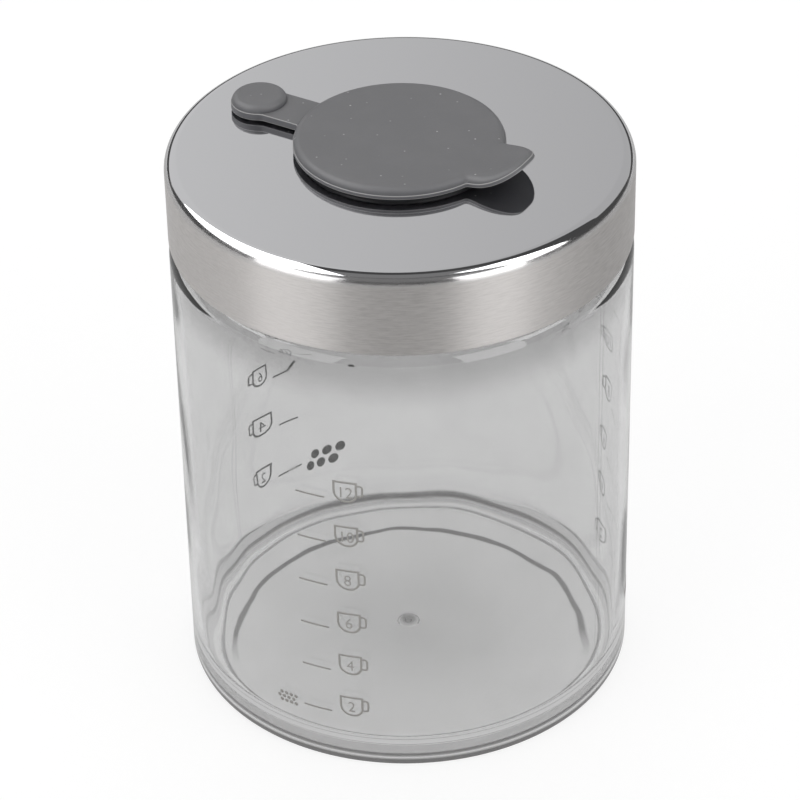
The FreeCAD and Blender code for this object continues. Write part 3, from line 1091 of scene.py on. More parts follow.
@dataclass
class Jar:
    """The blown jar: straight body, round shoulder, hidden neck, standing ring, raised base."""

    radius: float
    height: float
    wall: float = 2.0
    neck_inset: float = 3.3
    neck_height: float = 15.6
    shoulder: float = 4.2
    rim_bevel: float = 0.6
    heel: float = 1.5
    foot_width: float = 3.0
    push_up: float = 0.9
    push_up_slope: float = 1.4
    floor_wall: float = 1.9
    floor_corner: float = 5.5
    gate_radius: float = 2.4
    gate_depth: float = 0.3
    wave: float = 0.02
    segments: int = 384

    @property
    def body_top(self) -> float:
        """Height where the straight body ends and the shoulder starts."""
        rise = math.sqrt(self.shoulder**2 - (self.shoulder - self.neck_inset) ** 2)
        return self.height - self.neck_height - rise

    def outer_profile(self) -> Profile:
        """Give the outside from the middle of the underside up to the rim."""
        foot_outer = self.radius - self.heel
        foot_inner = foot_outer - self.foot_width
        raised = foot_inner - self.push_up_slope
        neck = self.radius - self.neck_inset
        shoulder_end = math.degrees(
            math.acos((self.shoulder - self.neck_inset) / self.shoulder)
        )
        gate = self.gate_radius
        dish = self.push_up + self.gate_depth
        return [
            (0.0, self.push_up - 0.1),
            (0.5, self.push_up - 0.05),
            (0.8, dish),
            (gate - 0.25, dish),
            (gate, self.push_up),
            *run((gate + 0.3, self.push_up), (raised - 0.6, self.push_up), 10),
            (raised - 0.5, self.push_up),
            (raised, self.push_up - 0.07),
            (raised + 0.4, self.push_up - 0.3),
            (foot_inner - 0.4, 0.2),
            (foot_inner, 0.05),
            (foot_inner + 0.5, 0.0),
            *arc((foot_outer, self.heel), self.heel, -90, 0, 10),
            *run((self.radius, self.heel + 0.6), (self.radius, self.body_top - 0.3), 40),
            *arc((self.radius - self.shoulder, self.body_top), self.shoulder, 0, shoulder_end, 18),
            (neck, self.height - self.neck_height + 0.4),
            *run((neck, self.height - 12), (neck, self.height - self.rim_bevel), 3),
            (neck, self.height - self.rim_bevel),
            (neck - self.rim_bevel, self.height),
        ]

    def inner_profile(self) -> Profile:
        """Give the inside from the rim down to the middle of the floor."""
        mouth = self.radius - self.neck_inset - self.wall
        inner = self.radius - self.wall
        inner_shoulder = self.shoulder - self.wall / 2
        start = math.degrees(math.acos((inner_shoulder - self.neck_inset) / inner_shoulder))
        floor = self.push_up + self.floor_wall
        return [
            (mouth + self.rim_bevel, self.height),
            (mouth, self.height - self.rim_bevel),
            *run((mouth, self.height - 3), (mouth, self.height - 13), 3),
            *arc((inner - inner_shoulder, self.body_top), inner_shoulder, start, 0, 14),
            *run((inner, self.body_top - 0.6), (inner, floor + self.floor_corner + 0.3), 70),
            *arc(
                (inner - self.floor_corner, floor + self.floor_corner),
                self.floor_corner,
                0,
                -90,
                14,
            ),
            *run((inner - self.floor_corner - 0.8, floor), (0.8, floor), 24),
            (0.0, floor),
        ]

    def waviness(self, outer_count: int) -> Callable[[float, float, float, int], float]:
        """Give the blown inner wall's slow waves, as a radial shift.

        Args:
            outer_count: How many profile points belong to the smooth outside.

        Returns:
            A function of radius, height, angle and point number.
        """
        inner = self.radius - self.wall
        low = self.push_up + self.floor_wall + self.floor_corner
        high = self.body_top

        def shift(radius: float, height: float, angle: float, number: int) -> float:
            if number < outer_count or radius < inner - self.floor_corner - 1:
                return 0.0
            fade = min(1.0, max(0.0, (height - low + 4) / 8)) * min(
                1.0, max(0.0, (high - height) / 6)
            )
            waves = (
                math.sin(7 * angle + 0.05 * height + 0.6)
                + 0.8 * math.sin(12 * angle - 0.11 * height + 2.1)
                + 0.5 * math.sin(19 * angle + 0.17 * height + 4.0)
                + 0.6 * math.sin(0.21 * height + 2 * math.sin(3 * angle))
            )
            return self.wave * fade * waves

        return shift

    def build(self, finishes: Finishes) -> bpy.types.Object:
        """Build and dress the jar.

        Args:
            finishes: The container's finishes.

        Returns:
            The jar's object.
        """
        outer = self.outer_profile()
        profile = outer + self.inner_profile()
        piece = spun("jar_shell", profile, self.segments, self.waviness(len(outer)))
        sharpen(piece, 40)
        dress(piece, finishes.jar)
        piece.data.materials.append(finishes.jar_under)
        for face in piece.data.polygons:
            face.material_index = int(face.center.z < 1.3 * MM and face.normal.z < -0.3)
        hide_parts("jar")
        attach(piece, "jar")
        return piece


# Print on the jar


class Grind(Enum):
    """The three grinds that the jar is marked for, each with its dots' radius in millimetres."""

    FINE = 0.45
    MEDIUM = 0.8
    COARSE = 1.25


@dataclass
class PrintColumn:
    """One column of marks: ticks, cups with their numbers, and dots for the grind's size."""

    grind: Grind
    angle: float
    first_z: float
    pitch: float
    jar_radius: float
    numbers: tuple[int, ...] = (2, 4, 6, 8, 10, 12)
    ink_height: float = 0.025
    tick_from: float = -7.5
    tick_length: float = 6.3
    tick_stroke: float = 0.42
    cup_width: float = 4.6
    cup_height: float = 4.7
    cup_stroke: float = 0.48
    handle_reach: float = 1.25
    handle_round: float = 0.6
    handle_low_round: float = 0.45
    number_height: float = 2.7
    number_rise: float = 0.62
    number_narrow: float = 0.9
    letter_height: float = 0.72
    dot_steps: int = 14
    gap_above_wall: float = 0.004

    def wrap(self, u: float, v: float, proud: float = 0.0) -> tuple[float, float, float]:
        """Place a flat point of the column on the jar, in millimetres.

        Args:
            u: Distance round the jar from the column's line, to the right.
            v: Height above the standing plane.
            proud: Height of the ink above the wall.
        """
        radius = self.jar_radius + self.gap_above_wall + proud
        angle = math.radians(self.angle) + u / self.jar_radius
        return (radius * math.cos(angle), radius * math.sin(angle), v)

    def stroke(self, name: str, path: Profile, width: float, looped: bool) -> bpy.types.Object:
        """Draw a line of ink along a flat path.

        Args:
            name: The mark's name.
            path: Points of the line's middle.
            width: The line's width.
            looped: Whether the path closes on itself.

        Returns:
            The mark's object, wrapped on the jar.
        """
        count = len(path)
        points = []
        for i, here in enumerate(path):
            before = path[i - 1] if looped or i else here
            after = path[(i + 1) % count] if looped or i < count - 1 else here
            a = Vector((here[0] - before[0], here[1] - before[1]))
            b = Vector((after[0] - here[0], after[1] - here[1]))
            a = a.normalized() if a.length else b.normalized()
            b = b.normalized() if b.length else a
            middle = (a + b).normalized()
            side = Vector((-middle.y, middle.x)) * (width / 2 / max(0.5, middle.dot(a)))
            for sign in (1, -1):
                u, v = here[0] + side.x * sign, here[1] + side.y * sign
                points.append(self.wrap(u, v, self.ink_height))
                points.append(self.wrap(u, v))
        faces = []
        spans = count if looped else count - 1
        for i in range(spans):
            a, b = 4 * i, 4 * ((i + 1) % count)
            faces += [
                (a, a + 2, b + 2, b),
                (a + 1, b + 1, b + 3, a + 3),
                (a, b, b + 1, a + 1),
                (a + 2, a + 3, b + 3, b + 2),
            ]
        if not looped:
            end = 4 * (count - 1)
            faces += [(0, 1, 3, 2), (end, end + 2, end + 3, end + 1)]
        return mesh_object(name, points, faces)

    def tick(self) -> bpy.types.Object:
        """Draw the lowest tick mark."""
        start = self.tick_from - self.tick_length / 2
        steps = 8
        path = [(start + self.tick_length * i / steps, self.first_z) for i in range(steps + 1)]
        return self.stroke("tick", path, self.tick_stroke, False)

    def cup(self) -> bpy.types.Object:
        """Draw the lowest cup: a body with round lower corners, and its handle."""
        half = self.cup_width / 2
        low = self.first_z - 0.3
        top = low + self.cup_height
        round_left = self.cup_width * 0.52
        round_right = self.cup_width * 0.42
        body = [
            *run((-half, top), (-half, low + round_left), 4),
            *arc((-half + round_left, low + round_left), round_left, 180, 270, 10),
            *run((-half + round_left + 0.1, low), (half - round_right, low), 2),
            *arc((half - round_right, low + round_right), round_right, -90, 0, 10),
            *run((half, low + round_right + 0.1), (half, top), 4),
            *run((half, top), (-half, top), 6),
        ]
        side = half + self.handle_reach
        high, low_round = self.handle_round, self.handle_low_round
        handle = [
            *run((half, top - 0.55), (side - high, top - 0.55), 2),
            *arc((side - high, top - 0.55 - high), high, 90, 0, 5),
            *run((side, top - 1.3), (side, top - 2.7), 3),
            *arc((side - low_round, top - 2.7), low_round, 0, -90, 4),
            (half, top - 2.7 - low_round),
        ]
        return joined(
            "cup",
            [
                self.stroke("cup_body", body, self.cup_stroke, True),
                self.stroke("cup_handle", handle, self.cup_stroke * 0.9, False),
            ],
        )

    def number(self, value: int, level: float) -> bpy.types.Object:
        """Draw one plain number inside its cup.

        Args:
            value: The number of cups.
            level: Height of its tick.

        Returns:
            The number's object, wrapped on the jar.
        """
        text = bpy.data.curves.new("number", "FONT")
        text.body = str(value)
        text.size = 1.0
        text.align_x = "CENTER"
        holder = linked("number", text)
        graph = bpy.context.evaluated_depsgraph_get()
        mesh = bpy.data.meshes.new_from_object(holder.evaluated_get(graph))
        bpy.data.objects.remove(holder)
        bpy.data.curves.remove(text)
        flat = bmesh.new()
        flat.from_mesh(mesh)
        bmesh.ops.triangulate(flat, faces=flat.faces[:])
        bmesh.ops.subdivide_edges(flat, edges=flat.edges[:], cuts=1)
        raised = bmesh.ops.extrude_face_region(flat, geom=flat.faces[:])
        for item in raised["geom"]:
            if isinstance(item, bmesh.types.BMVert):
                item.co.z = 1.0
        scale = self.number_height / self.letter_height
        base = level + self.number_rise
        for vertex in flat.verts:
            x, y, z = vertex.co
            across = x * scale * self.number_narrow
            vertex.co = Vector(self.wrap(across, base + y * scale, z * self.ink_height)) * MM
        bmesh.ops.recalc_face_normals(flat, faces=flat.faces[:])
        flat.to_mesh(mesh)
        flat.free()
        return linked("number", mesh)

    def dots(self) -> list[bpy.types.Object]:
        """Draw the dots that stand for the grind's size, left of the lowest tick."""
        size = self.grind.value
        gap = size * 2.6
        right = self.tick_from - self.tick_length / 2 - 1.6 - size
        rows = max(1, round(2.2 / gap) + 1)
        columns = 3 if self.grind is Grind.COARSE else 4
        return [
            self.dot(
                right - column * gap - (row % 2) * gap / 2,
                self.first_z + (row - (rows - 1) / 2) * gap * 0.87,
            )
            for row in range(rows)
            for column in range(columns)
        ]

    def dot(self, u: float, v: float) -> bpy.types.Object:
        """Draw one round dot of ink.

        Args:
            u: Its middle's distance round the jar from the column's line.
            v: Its middle's height above the standing plane.
        """
        size, ring = self.grind.value, self.dot_steps
        turns = [2 * math.pi * step / ring for step in range(ring)]
        rim = [(u + size * math.cos(a), v + size * math.sin(a)) for a in turns]
        points = [
            self.wrap(u, v, self.ink_height),
            *(self.wrap(x, y, self.ink_height) for x, y in rim),
            *(self.wrap(x, y) for x, y in rim),
            self.wrap(u, v),
        ]
        last = len(points) - 1
        faces = []
        for step in range(ring):
            after = (step + 1) % ring
            faces.append((0, 1 + step, 1 + after))
            faces.append((1 + step, 1 + ring + step, 1 + ring + after, 1 + after))
            faces.append((last, 1 + ring + after, 1 + ring + step))
        return mesh_object("dot", points, faces)

    def build(self, finishes: Finishes, repeat: Repeat) -> bpy.types.Object:
        """Build and dress the column.

        Args:
            finishes: The container's finishes.
            repeat: Repeats what stands at each level.

        Returns:
            The column's object.
        """
        count = len(self.numbers)
        marks = [
            repeat.apply(self.tick(), count, rise=self.pitch),
            repeat.apply(self.cup(), count, rise=self.pitch),
            *(
                self.number(value, self.first_z + self.pitch * level)
                for level, value in enumerate(self.numbers)
            ),
            *self.dots(),
        ]
        piece = joined(f"print_{self.grind.name.lower()}", marks)
        dress(piece, finishes.ink)
        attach(piece, "jar")
        return piece


# Lid


@dataclass
class Lid:
    """The push-in lid: a drawn steel cap over a moulded liner with a wiper seal."""

    radius: float
    top_z: float
    foot_z: float
    plug_radius: float = 41.7
    sheet: float = 0.5
    edge: float = 2.5
    hem_width: float = 1.5
    hem: float = 0.35
    collar_radius: float = 19.85
    collar_height: float = 1.1
    collar_wall: float = 1.6
    plate: float = 1.65
    liner_wall: float = 1.5
    plug_wall: float = 2.0
    plug_depth: float = 12.0
    chute_depth: float = 6.0
    groove_drop: float = 8.0
    groove_height: float = 4.2
    groove_depth: float = 0.9
    mouth_radius: float = 42.2
    rib_count: int = 6
    rib_thickness: float = 1.2
    rib_depth: float = 4.0
    fit: float = 0.05
    lip_clearance: float = 0.06
    lip_thickness: float = 0.7
    segments: int = 320
    hidden_segments: int = 256

    @property
    def plate_under(self) -> float:
        """Height of the plate's underside."""
        return self.top_z - self.sheet - self.fit - self.plate

    def cap(self, finishes: Finishes) -> bpy.types.Object:
        """Build the steel cap with its round top edge and turned-in hem."""
        inner = self.radius - self.sheet
        edge_in = self.edge - self.sheet
        flat = self.radius - self.edge
        hole = self.collar_radius + self.fit
        low, top = self.foot_z, self.top_z
        profile = [
            *run((hole + 0.15, top - self.sheet), (flat, top - self.sheet), 6),
            *arc((flat, top - self.edge), edge_in, 90, 0, 10),
            *run((inner, top - self.edge - 1), (inner, low + self.sheet), 6),
            (inner, low + self.sheet),
            (inner - self.hem_width, low + self.sheet),
            (inner - self.hem_width, low + 0.05),
            (inner - self.hem_width + 0.05, low),
            *arc((self.radius - self.hem, low + self.hem), self.hem, -90, 0, 6),
            *run((self.radius, low + self.hem + 0.2), (self.radius, top - self.edge - 0.2), 16),
            *arc((flat, top - self.edge), self.edge, 0, 90, 24),
            *run((flat - 0.3, top), (hole + 0.3, top), 30),
            (hole + 0.15, top - 0.02),
            (hole, top - 0.15),
            (hole, top - self.sheet + 0.15),
        ]
        piece = spun("steel_cap", profile, self.segments, closed=True)
        sharpen(piece, 50)
        dress(piece, finishes.steel)
        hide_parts("lid_cap")
        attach(piece, "lid")
        return piece

    def liner(self, finishes: Finishes) -> bpy.types.Object:
        """Build the moulded liner with its ribs."""
        outer = self.radius - self.sheet - self.fit
        under = self.plate_under
        top = under + self.plate
        plug_in = self.plug_radius - self.plug_wall
        chute = self.collar_radius - self.collar_wall
        collar_top = self.top_z + self.collar_height
        groove = under - self.groove_drop
        half = self.groove_height / 2
        soft = 0.35
        profile = [
            (chute, under - self.chute_depth + soft),
            (chute + soft, under - self.chute_depth),
            (self.collar_radius - soft, under - self.chute_depth),
            (self.collar_radius, under - self.chute_depth + soft),
            (self.collar_radius, under - soft),
            (self.collar_radius + soft, under),
            *run((self.collar_radius + 1, under), (plug_in - 1, under), 6),
            (plug_in - soft, under),
            (plug_in, under - soft),
            (plug_in, under - self.plug_depth + soft),
            (plug_in + soft, under - self.plug_depth),
            (self.plug_radius - 0.9, under - self.plug_depth),
            (self.plug_radius, under - self.plug_depth + 0.9),
            (self.plug_radius, groove - half),
            (self.plug_radius - self.groove_depth, groove - half),
            (self.plug_radius - self.groove_depth, groove + half),
            (self.plug_radius, groove + half),
            (self.plug_radius, under),
            (outer - self.liner_wall, under),
            (outer - self.liner_wall, self.foot_z + self.sheet + self.fit),
            (outer, self.foot_z + self.sheet + self.fit),
            (outer, top - self.edge + self.sheet),
            (outer - self.edge + self.sheet, top),
            *run((outer - self.edge, top), (self.collar_radius + 0.3, top), 6),
            (self.collar_radius, top),
            (self.collar_radius, collar_top - soft),
            *arc((self.collar_radius - soft, collar_top - soft), soft, 0, 90, 5),
            *arc((chute + soft, collar_top - soft), soft, 90, 180, 5),
        ]
        shell = spun("liner_shell", profile, self.hidden_segments, closed=True)
        sharpen(shell, 35)
        rib = self.rib(plug_in)
        repeat = Repeat(finishes.liner)
        ribs = repeat.apply(rib, self.rib_count, turn=360 / self.rib_count)
        piece = joined("lid_liner_shell", [shell, ribs])
        dress(piece, finishes.liner)
        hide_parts("lid_liner")
        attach(piece, "lid")
        return piece

    def rib(self, plug_in: float) -> bpy.types.Object:
        """Build one rib under the plate, across the line from anchor to tab.

        Args:
            plug_in: Inner radius of the plug wall.
        """
        start = self.collar_radius - self.collar_wall / 2
        end = plug_in + self.plug_wall / 2
        low = self.plate_under - self.rib_depth
        high = self.plate_under + self.plate / 2
        half = self.rib_thickness / 2
        foot = half * 0.7
        right = [(foot, low), (half, low + 0.3), (half, high)]
        section = [(-foot, low), *right, (-half, high), (-half, low + 0.3)]
        points = [(x, y, z) for y in (start, end) for x, z in section]
        count = len(section)
        faces = [tuple(range(count)), tuple(range(2 * count - 1, count - 1, -1))]
        for i in range(count):
            j = (i + 1) % count
            faces.append((i, i + count, j + count, j))
        made = mesh_object("rib", points, faces)
        sharpen(made, 30)
        return made

    def seal(self, finishes: Finishes) -> bpy.types.Object:
        """Build the wiper seal with its two lips."""
        floor = self.plug_radius - self.groove_depth + self.fit
        lip = self.mouth_radius - self.lip_clearance
        middle = self.plate_under - self.groove_drop
        half = self.groove_height / 2 - self.fit
        foot, head = middle - half, middle + half
        thick = self.lip_thickness
        profile = [
            (floor, foot),
            (self.plug_radius, foot),
            (lip - 0.1, foot + thick * 0.85),
            (lip, foot + thick * 1.2),
            (lip - 0.08, foot + thick * 1.9),
            (self.plug_radius, middle - 0.15),
            (self.plug_radius, middle + 0.15),
            (lip - 0.08, head - thick * 1.1),
            (lip, head - thick * 0.5),
            (lip - 0.1, head),
            (floor, head),
        ]
        piece = spun("wiper_seal", profile, self.hidden_segments, closed=True)
        sharpen(piece, 40)
        dress(piece, finishes.seal)
        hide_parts("lid_seal")
        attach(piece, "lid")
        return piece


# Stopper


@dataclass
class Stopper:
    """The silicone stopper: anchor button, strap, disc with its plug ring, and curled pull tab.

    Disc, tab and button are low crowned pads on one thin flange; the strap is that flange alone.
    """

    lid_top: float
    disc_radius: float = 21.45
    disc_under: float = 1.2
    lip: float = 2.05
    crown: float = 1.4
    crown_round: float = 1.35
    ledge: float = 0.16
    button_centre: float = -33.2
    button_radius: float = 5.85
    strap_half: float = 4.85
    strap_under: float = 0.55
    tab_half: float = 8.0
    tab_tip: float = 28.93
    tab_corner: float = 7.05
    tab_crown: float = 0.7
    curl_start: float = 18.15
    curl_radius: float = 18.1
    bevel: float = 0.08
    lip_fade: float = 0.14
    spacing: float = 0.7
    ring_top: float = 18.0
    ring_foot: float = 17.45
    ring_bore: float = 16.05
    ring_depth: float = 5.0
    stem_radius: float = 2.5
    barb_radius: float = 3.6
    stem_depth: float = 6.1
    bend_half: float = 2.4

    def place(self, x: float, y: float, height: float) -> tuple[float, float, float]:
        """Place a point of the flat moulding, curling the tab up.

        Args:
            x: Place along the line from anchor to tab.
            y: Place across it.
            height: Height above the lid before the curl.

        Returns:
            The point, in millimetres in the part's frame.
        """
        along = x - self.curl_start
        if along <= 0:
            return (x, y, self.lid_top + height)
        angle = math.asin(along / self.curl_radius)
        rise = self.curl_radius * (1 - math.cos(angle))
        above = height - self.lip
        return (
            x - above * math.sin(angle),
            y,
            self.lid_top + self.lip + rise + above * math.cos(angle),
        )

    def tab_inside(self, x: float, y: float) -> float:
        """Give the distance inside the tab's outline."""
        dx = max(0.0, x - (self.tab_tip - self.tab_corner))
        dy = max(0.0, abs(y) - (self.tab_half - self.tab_corner))
        if dx > 0 and dy > 0:
            return self.tab_corner - math.hypot(dx, dy)
        return min(self.tab_tip - x, self.tab_half - abs(y))

    def top(self, x: float, y: float) -> float:
        """Give the height of the flat moulding's top: the flange, or a pad's crown on it."""
        disc = self.disc_radius - math.hypot(x, y)
        button = self.button_radius - math.hypot(x - self.button_centre, y)
        pad = max(disc, self.tab_inside(x, y)) if x > 0 else disc
        inside = max(pad, button) - self.ledge
        if inside <= 0:
            return self.lip
        thinning = min(1.0, max(0.0, (x - self.curl_start) / (self.tab_tip - self.curl_start)))
        full = self.crown + (self.tab_crown - self.crown) * thinning
        left = 1 - min(1.0, inside / self.crown_round)
        return self.lip + full * math.sqrt(1 - left**2)

    def under(self, x: float, y: float) -> float:
        """Give the height of the flat moulding's underside."""
        past = min(1.0, max(0.0, (math.hypot(x, y) - self.disc_radius + 1.2) / 0.8))
        if x > 0 or abs(y) > self.button_radius:
            past = 0.0
        return self.disc_under + (self.strap_under - self.disc_under) * past

    def outline(self) -> Profile:
        """Give the plan's outline, turning left from the tab's notch, in short steps."""
        notch = math.degrees(math.asin(self.tab_half / self.disc_radius))
        joint = math.degrees(math.asin(self.strap_half / self.disc_radius))
        corner = math.degrees(math.asin(self.strap_half / self.button_radius))
        button = (self.button_centre, 0.0)
        strap_x = -self.disc_radius * math.cos(math.radians(joint))
        root_x = self.button_centre + self.button_radius * math.cos(math.radians(corner))
        tip = self.tab_tip - self.tab_corner
        flat = self.tab_half - self.tab_corner
        notch_x = self.disc_radius * math.cos(math.radians(notch))
        pieces = [
            arc((0, 0), self.disc_radius, notch, 180 - joint, 150),
            run((strap_x, self.strap_half), (root_x, self.strap_half), 18)[1:],
            arc(button, self.button_radius, corner, 360 - corner, 90),
            run((root_x, -self.strap_half), (strap_x, -self.strap_half), 18)[1:],
            arc((0, 0), self.disc_radius, 180 + joint, 360 - notch, 150),
            run((notch_x, -self.tab_half), (tip, -self.tab_half), 8)[1:],
            arc((tip, -flat), self.tab_corner, -90, 0, 30),
            run((self.tab_tip, -flat), (self.tab_tip, flat), 6)[1:],
            arc((tip, flat), self.tab_corner, 0, 90, 30),
            run((tip, self.tab_half), (notch_x, self.tab_half), 8)[1:],
        ]
        return self.soften([p for piece in pieces for p in piece])

    def soften(self, points: Profile, reach: float = 0.5) -> Profile:
        """Round the plan's inner corners a little, by moving points near one to their neighbours.

        Args:
            points: The outline.
            reach: How far from a corner the rounding acts.

        Returns:
            The softened outline.
        """
        joint = math.asin(self.strap_half / self.disc_radius)
        corner = math.asin(self.strap_half / self.button_radius)
        notch = math.asin(self.tab_half / self.disc_radius)
        root = self.button_centre + self.button_radius * math.cos(corner)
        spots = [
            (x, sign * y)
            for sign in (1, -1)
            for x, y in (
                (-self.disc_radius * math.cos(joint), self.strap_half),
                (root, self.strap_half),
                (self.disc_radius * math.cos(notch), self.tab_half),
            )
        ]
        current = np.array(points)
        gaps = [np.hypot(current[:, 0] - x, current[:, 1] - y) for x, y in spots]
        share = np.clip(1 - np.min(gaps, axis=0) / reach, 0, 1)[:, None]
        for _ in range(3):
            mean = (np.roll(current, 1, 0) + np.roll(current, -1, 0)) / 2
            current = current + (mean - current) * share
        return [tuple(p) for p in current]

    def insets(self) -> list[float]:
        """Give the depths of the rings that carry the crown's round edge."""
        start = self.ledge
        steps = [self.crown_round * (1 - math.cos(math.radians(a))) for a in range(0, 91, 10)]
        return [start - 0.02, *(start + step + 0.002 for step in steps)]

    def plate(self) -> bpy.types.Object:
        """Build the flat moulding: top, side and underside over one plan."""
        loop = np.array(self.outline())
        along = np.roll(loop, -1, 0) - np.roll(loop, 1, 0)
        along /= np.linalg.norm(along, axis=1)[:, None]
        inward = np.stack([-along[:, 1], along[:, 0]], axis=1)
        count = len(loop)
        plan = [tuple(p) for p in loop + inward * self.bevel]
        edges = [(i, (i + 1) % count) for i in range(count)]
        for mouth in self.mouths():
            edges += [(len(plan) + i, len(plan) + i + 1) for i in range(len(mouth) - 1)]
            plan += mouth
        for depth in self.insets():
            plan += [tuple(p) for p in loop + inward * depth]
        plan += self.grid(loop)
        flat = delaunay_2d_cdt([Vector(p) for p in plan], edges, [], 1, 1e-4)
        places, triangles, origins = flat[0], flat[2], flat[3]
        ring = [next(new for new, old in enumerate(origins) if i in old) for i in range(count)]
        total = len(places)
        points = [self.place(p.x, p.y, self.top(p.x, p.y)) for p in places]
        points += [self.place(p.x, p.y, self.under(p.x, p.y)) for p in places]
        faces = [tuple(t) for t in triangles]
        faces += [tuple(i + total for i in reversed(t)) for t in triangles]
        # The lip layer marks where the silicone paints a highlight: the top and lower edges of the flange.
        marks = [0.0] * len(points)
        for i in ring:
            marks[i] = 1.0
        high = [self.lip - self.bevel] * count
        low = [self.under(x, y) + self.bevel for x, y in loop]
        previous = ring
        for levels, shift, mark in (
            (high, 0.0, 1.0),
            (high, -self.lip_fade, 0.0),
            (low, self.lip_fade, 0.0),
            (low, 0.0, 0.9),
        ):
            current = list(range(len(points), len(points) + count))
            points += [self.place(x, y, z + shift) for (x, y), z in zip(loop, levels)]
            marks += [mark] * count
            self.stitch(faces, previous, current)
            previous = current
        self.stitch(faces, previous, [i + total for i in ring])
        made = mesh_object("stopper_plate", points, faces)
        layer = made.data.attributes.new(LIP_HIGHLIGHT_LAYER, "FLOAT", "POINT")
        layer.data.foreach_set("value", marks)
        sharpen(made, 50)
        return made

    @staticmethod
    def stitch(faces: list[tuple[int, ...]], upper: Sequence[int], lower: Sequence[int]) -> None:
        """Add the faces between two closed rows of points."""
        for i in range(len(upper)):
            j = (i + 1) % len(upper)
            faces.append((upper[i], lower[i], lower[j], upper[j]))

    def mouths(self) -> list[Profile]:
        """Give the arcs on which the disc's and the button's crowns meet the strap."""
        arcs = []
        for centre, radius, middle in (
            (0.0, self.disc_radius, 180.0),
            (self.button_centre, self.button_radius, 0.0),
        ):
            half = math.degrees(math.asin(self.strap_half / radius)) * 0.97
            for depth in (self.ledge, *self.insets()[1:]):
                reach = radius - depth
                arcs.append(arc((centre, 0.0), reach, middle - half, middle + half, 28))
        return arcs

    def grid(self, loop: np.ndarray) -> Profile:
        """Give the plan's inner points, closer together on the strap, which bends.

        Args:
            loop: The outline.
        """
        inside = []
        fine = self.spacing * 0.5
        start = self.button_centre - self.button_radius
        for left, right, step in (
            (start, -self.disc_radius + 2, fine),
            (-self.disc_radius + 2, self.tab_tip, self.spacing),
        ):
            for row in range(int((right - left) / step)):
                x = left + (row + 0.5) * step
                for column in range(-60, 61):
                    y = (column + (row % 2) / 2) * step * 1.1
                    if self.clear(x, y, loop):
                        inside.append((x, y))
        return inside

    def clear(self, x: float, y: float, loop: np.ndarray) -> bool:
        """Tell whether a point lies inside the outline and clear of the crown's rings."""
        disc = self.disc_radius - math.hypot(x, y)
        button = self.button_radius - math.hypot(x - self.button_centre, y)
        strap = self.strap_half - abs(y) if self.button_centre < x < 0 else -1.0
        tab = self.tab_inside(x, y) if x > 0 else -1.0
        if max(disc, button, strap, tab) <= 0:
            return False
        rings = self.crown_round + self.ledge + 0.1
        if x < 0 and (0.0 <= disc <= rings or 0.0 <= button <= rings):
            return False
        return float(np.min(np.hypot(loop[:, 0] - x, loop[:, 1] - y))) > rings

    def plug_ring(self) -> bpy.types.Object:
        """Build the tapered ring under the disc that plugs the filling hole."""
        root = self.lid_top + self.disc_under
        top, foot = root + 0.25, root - self.ring_depth
        bore, outer = self.ring_bore, self.ring_foot
        profile = [
            (bore, top),
            (bore, foot + 0.4),
            (bore + 0.15, foot + 0.1),
            (bore + 0.45, foot),
            (outer - 0.35, foot),
            (outer - 0.1, foot + 0.15),
            (outer, foot + 0.45),
            (self.ring_top, top),
        ]
        made = spun("plug_ring", profile, 192, closed=True)
        sharpen(made, 50)
        return made

    def stem(self) -> bpy.types.Object:
        """Build the anchor's foot, stem and barb below its button."""
        base = self.lid_top
        tip = base - self.stem_depth
        stem, barb = self.stem_radius, self.barb_radius
        profile = [
            (0.0, tip),
            (1.4, tip),
            (1.75, tip + 0.15),
            (barb - 0.15, base - 2.6),
            (barb, base - 2.4),
            (barb - 0.1, base - 2.31),
            (stem + 0.1, base - 2.3),
            (stem, base - 2.2),
            (stem, base - 0.05),
            (4.0, base),
            (4.2, base + 0.15),
            (4.2, base + 0.8),
            (0.0, base + 0.8),
        ]
        made = spun("anchor_stem", profile, 96, centre=(self.button_centre, 0.0))
        sharpen(made, 50)
        return made

    def build(self, finishes: Finishes) -> bpy.types.Object:
        """Build and dress the stopper.

        Args:
            finishes: The container's finishes.

        Returns:
            The stopper's object.
        """
        piece = joined("stopper", [self.plate(), self.plug_ring(), self.stem()])
        dress(piece, finishes.stopper)
        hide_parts("stopper_anchor", "stopper_flap")
        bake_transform(piece)
        return piece


# Studio


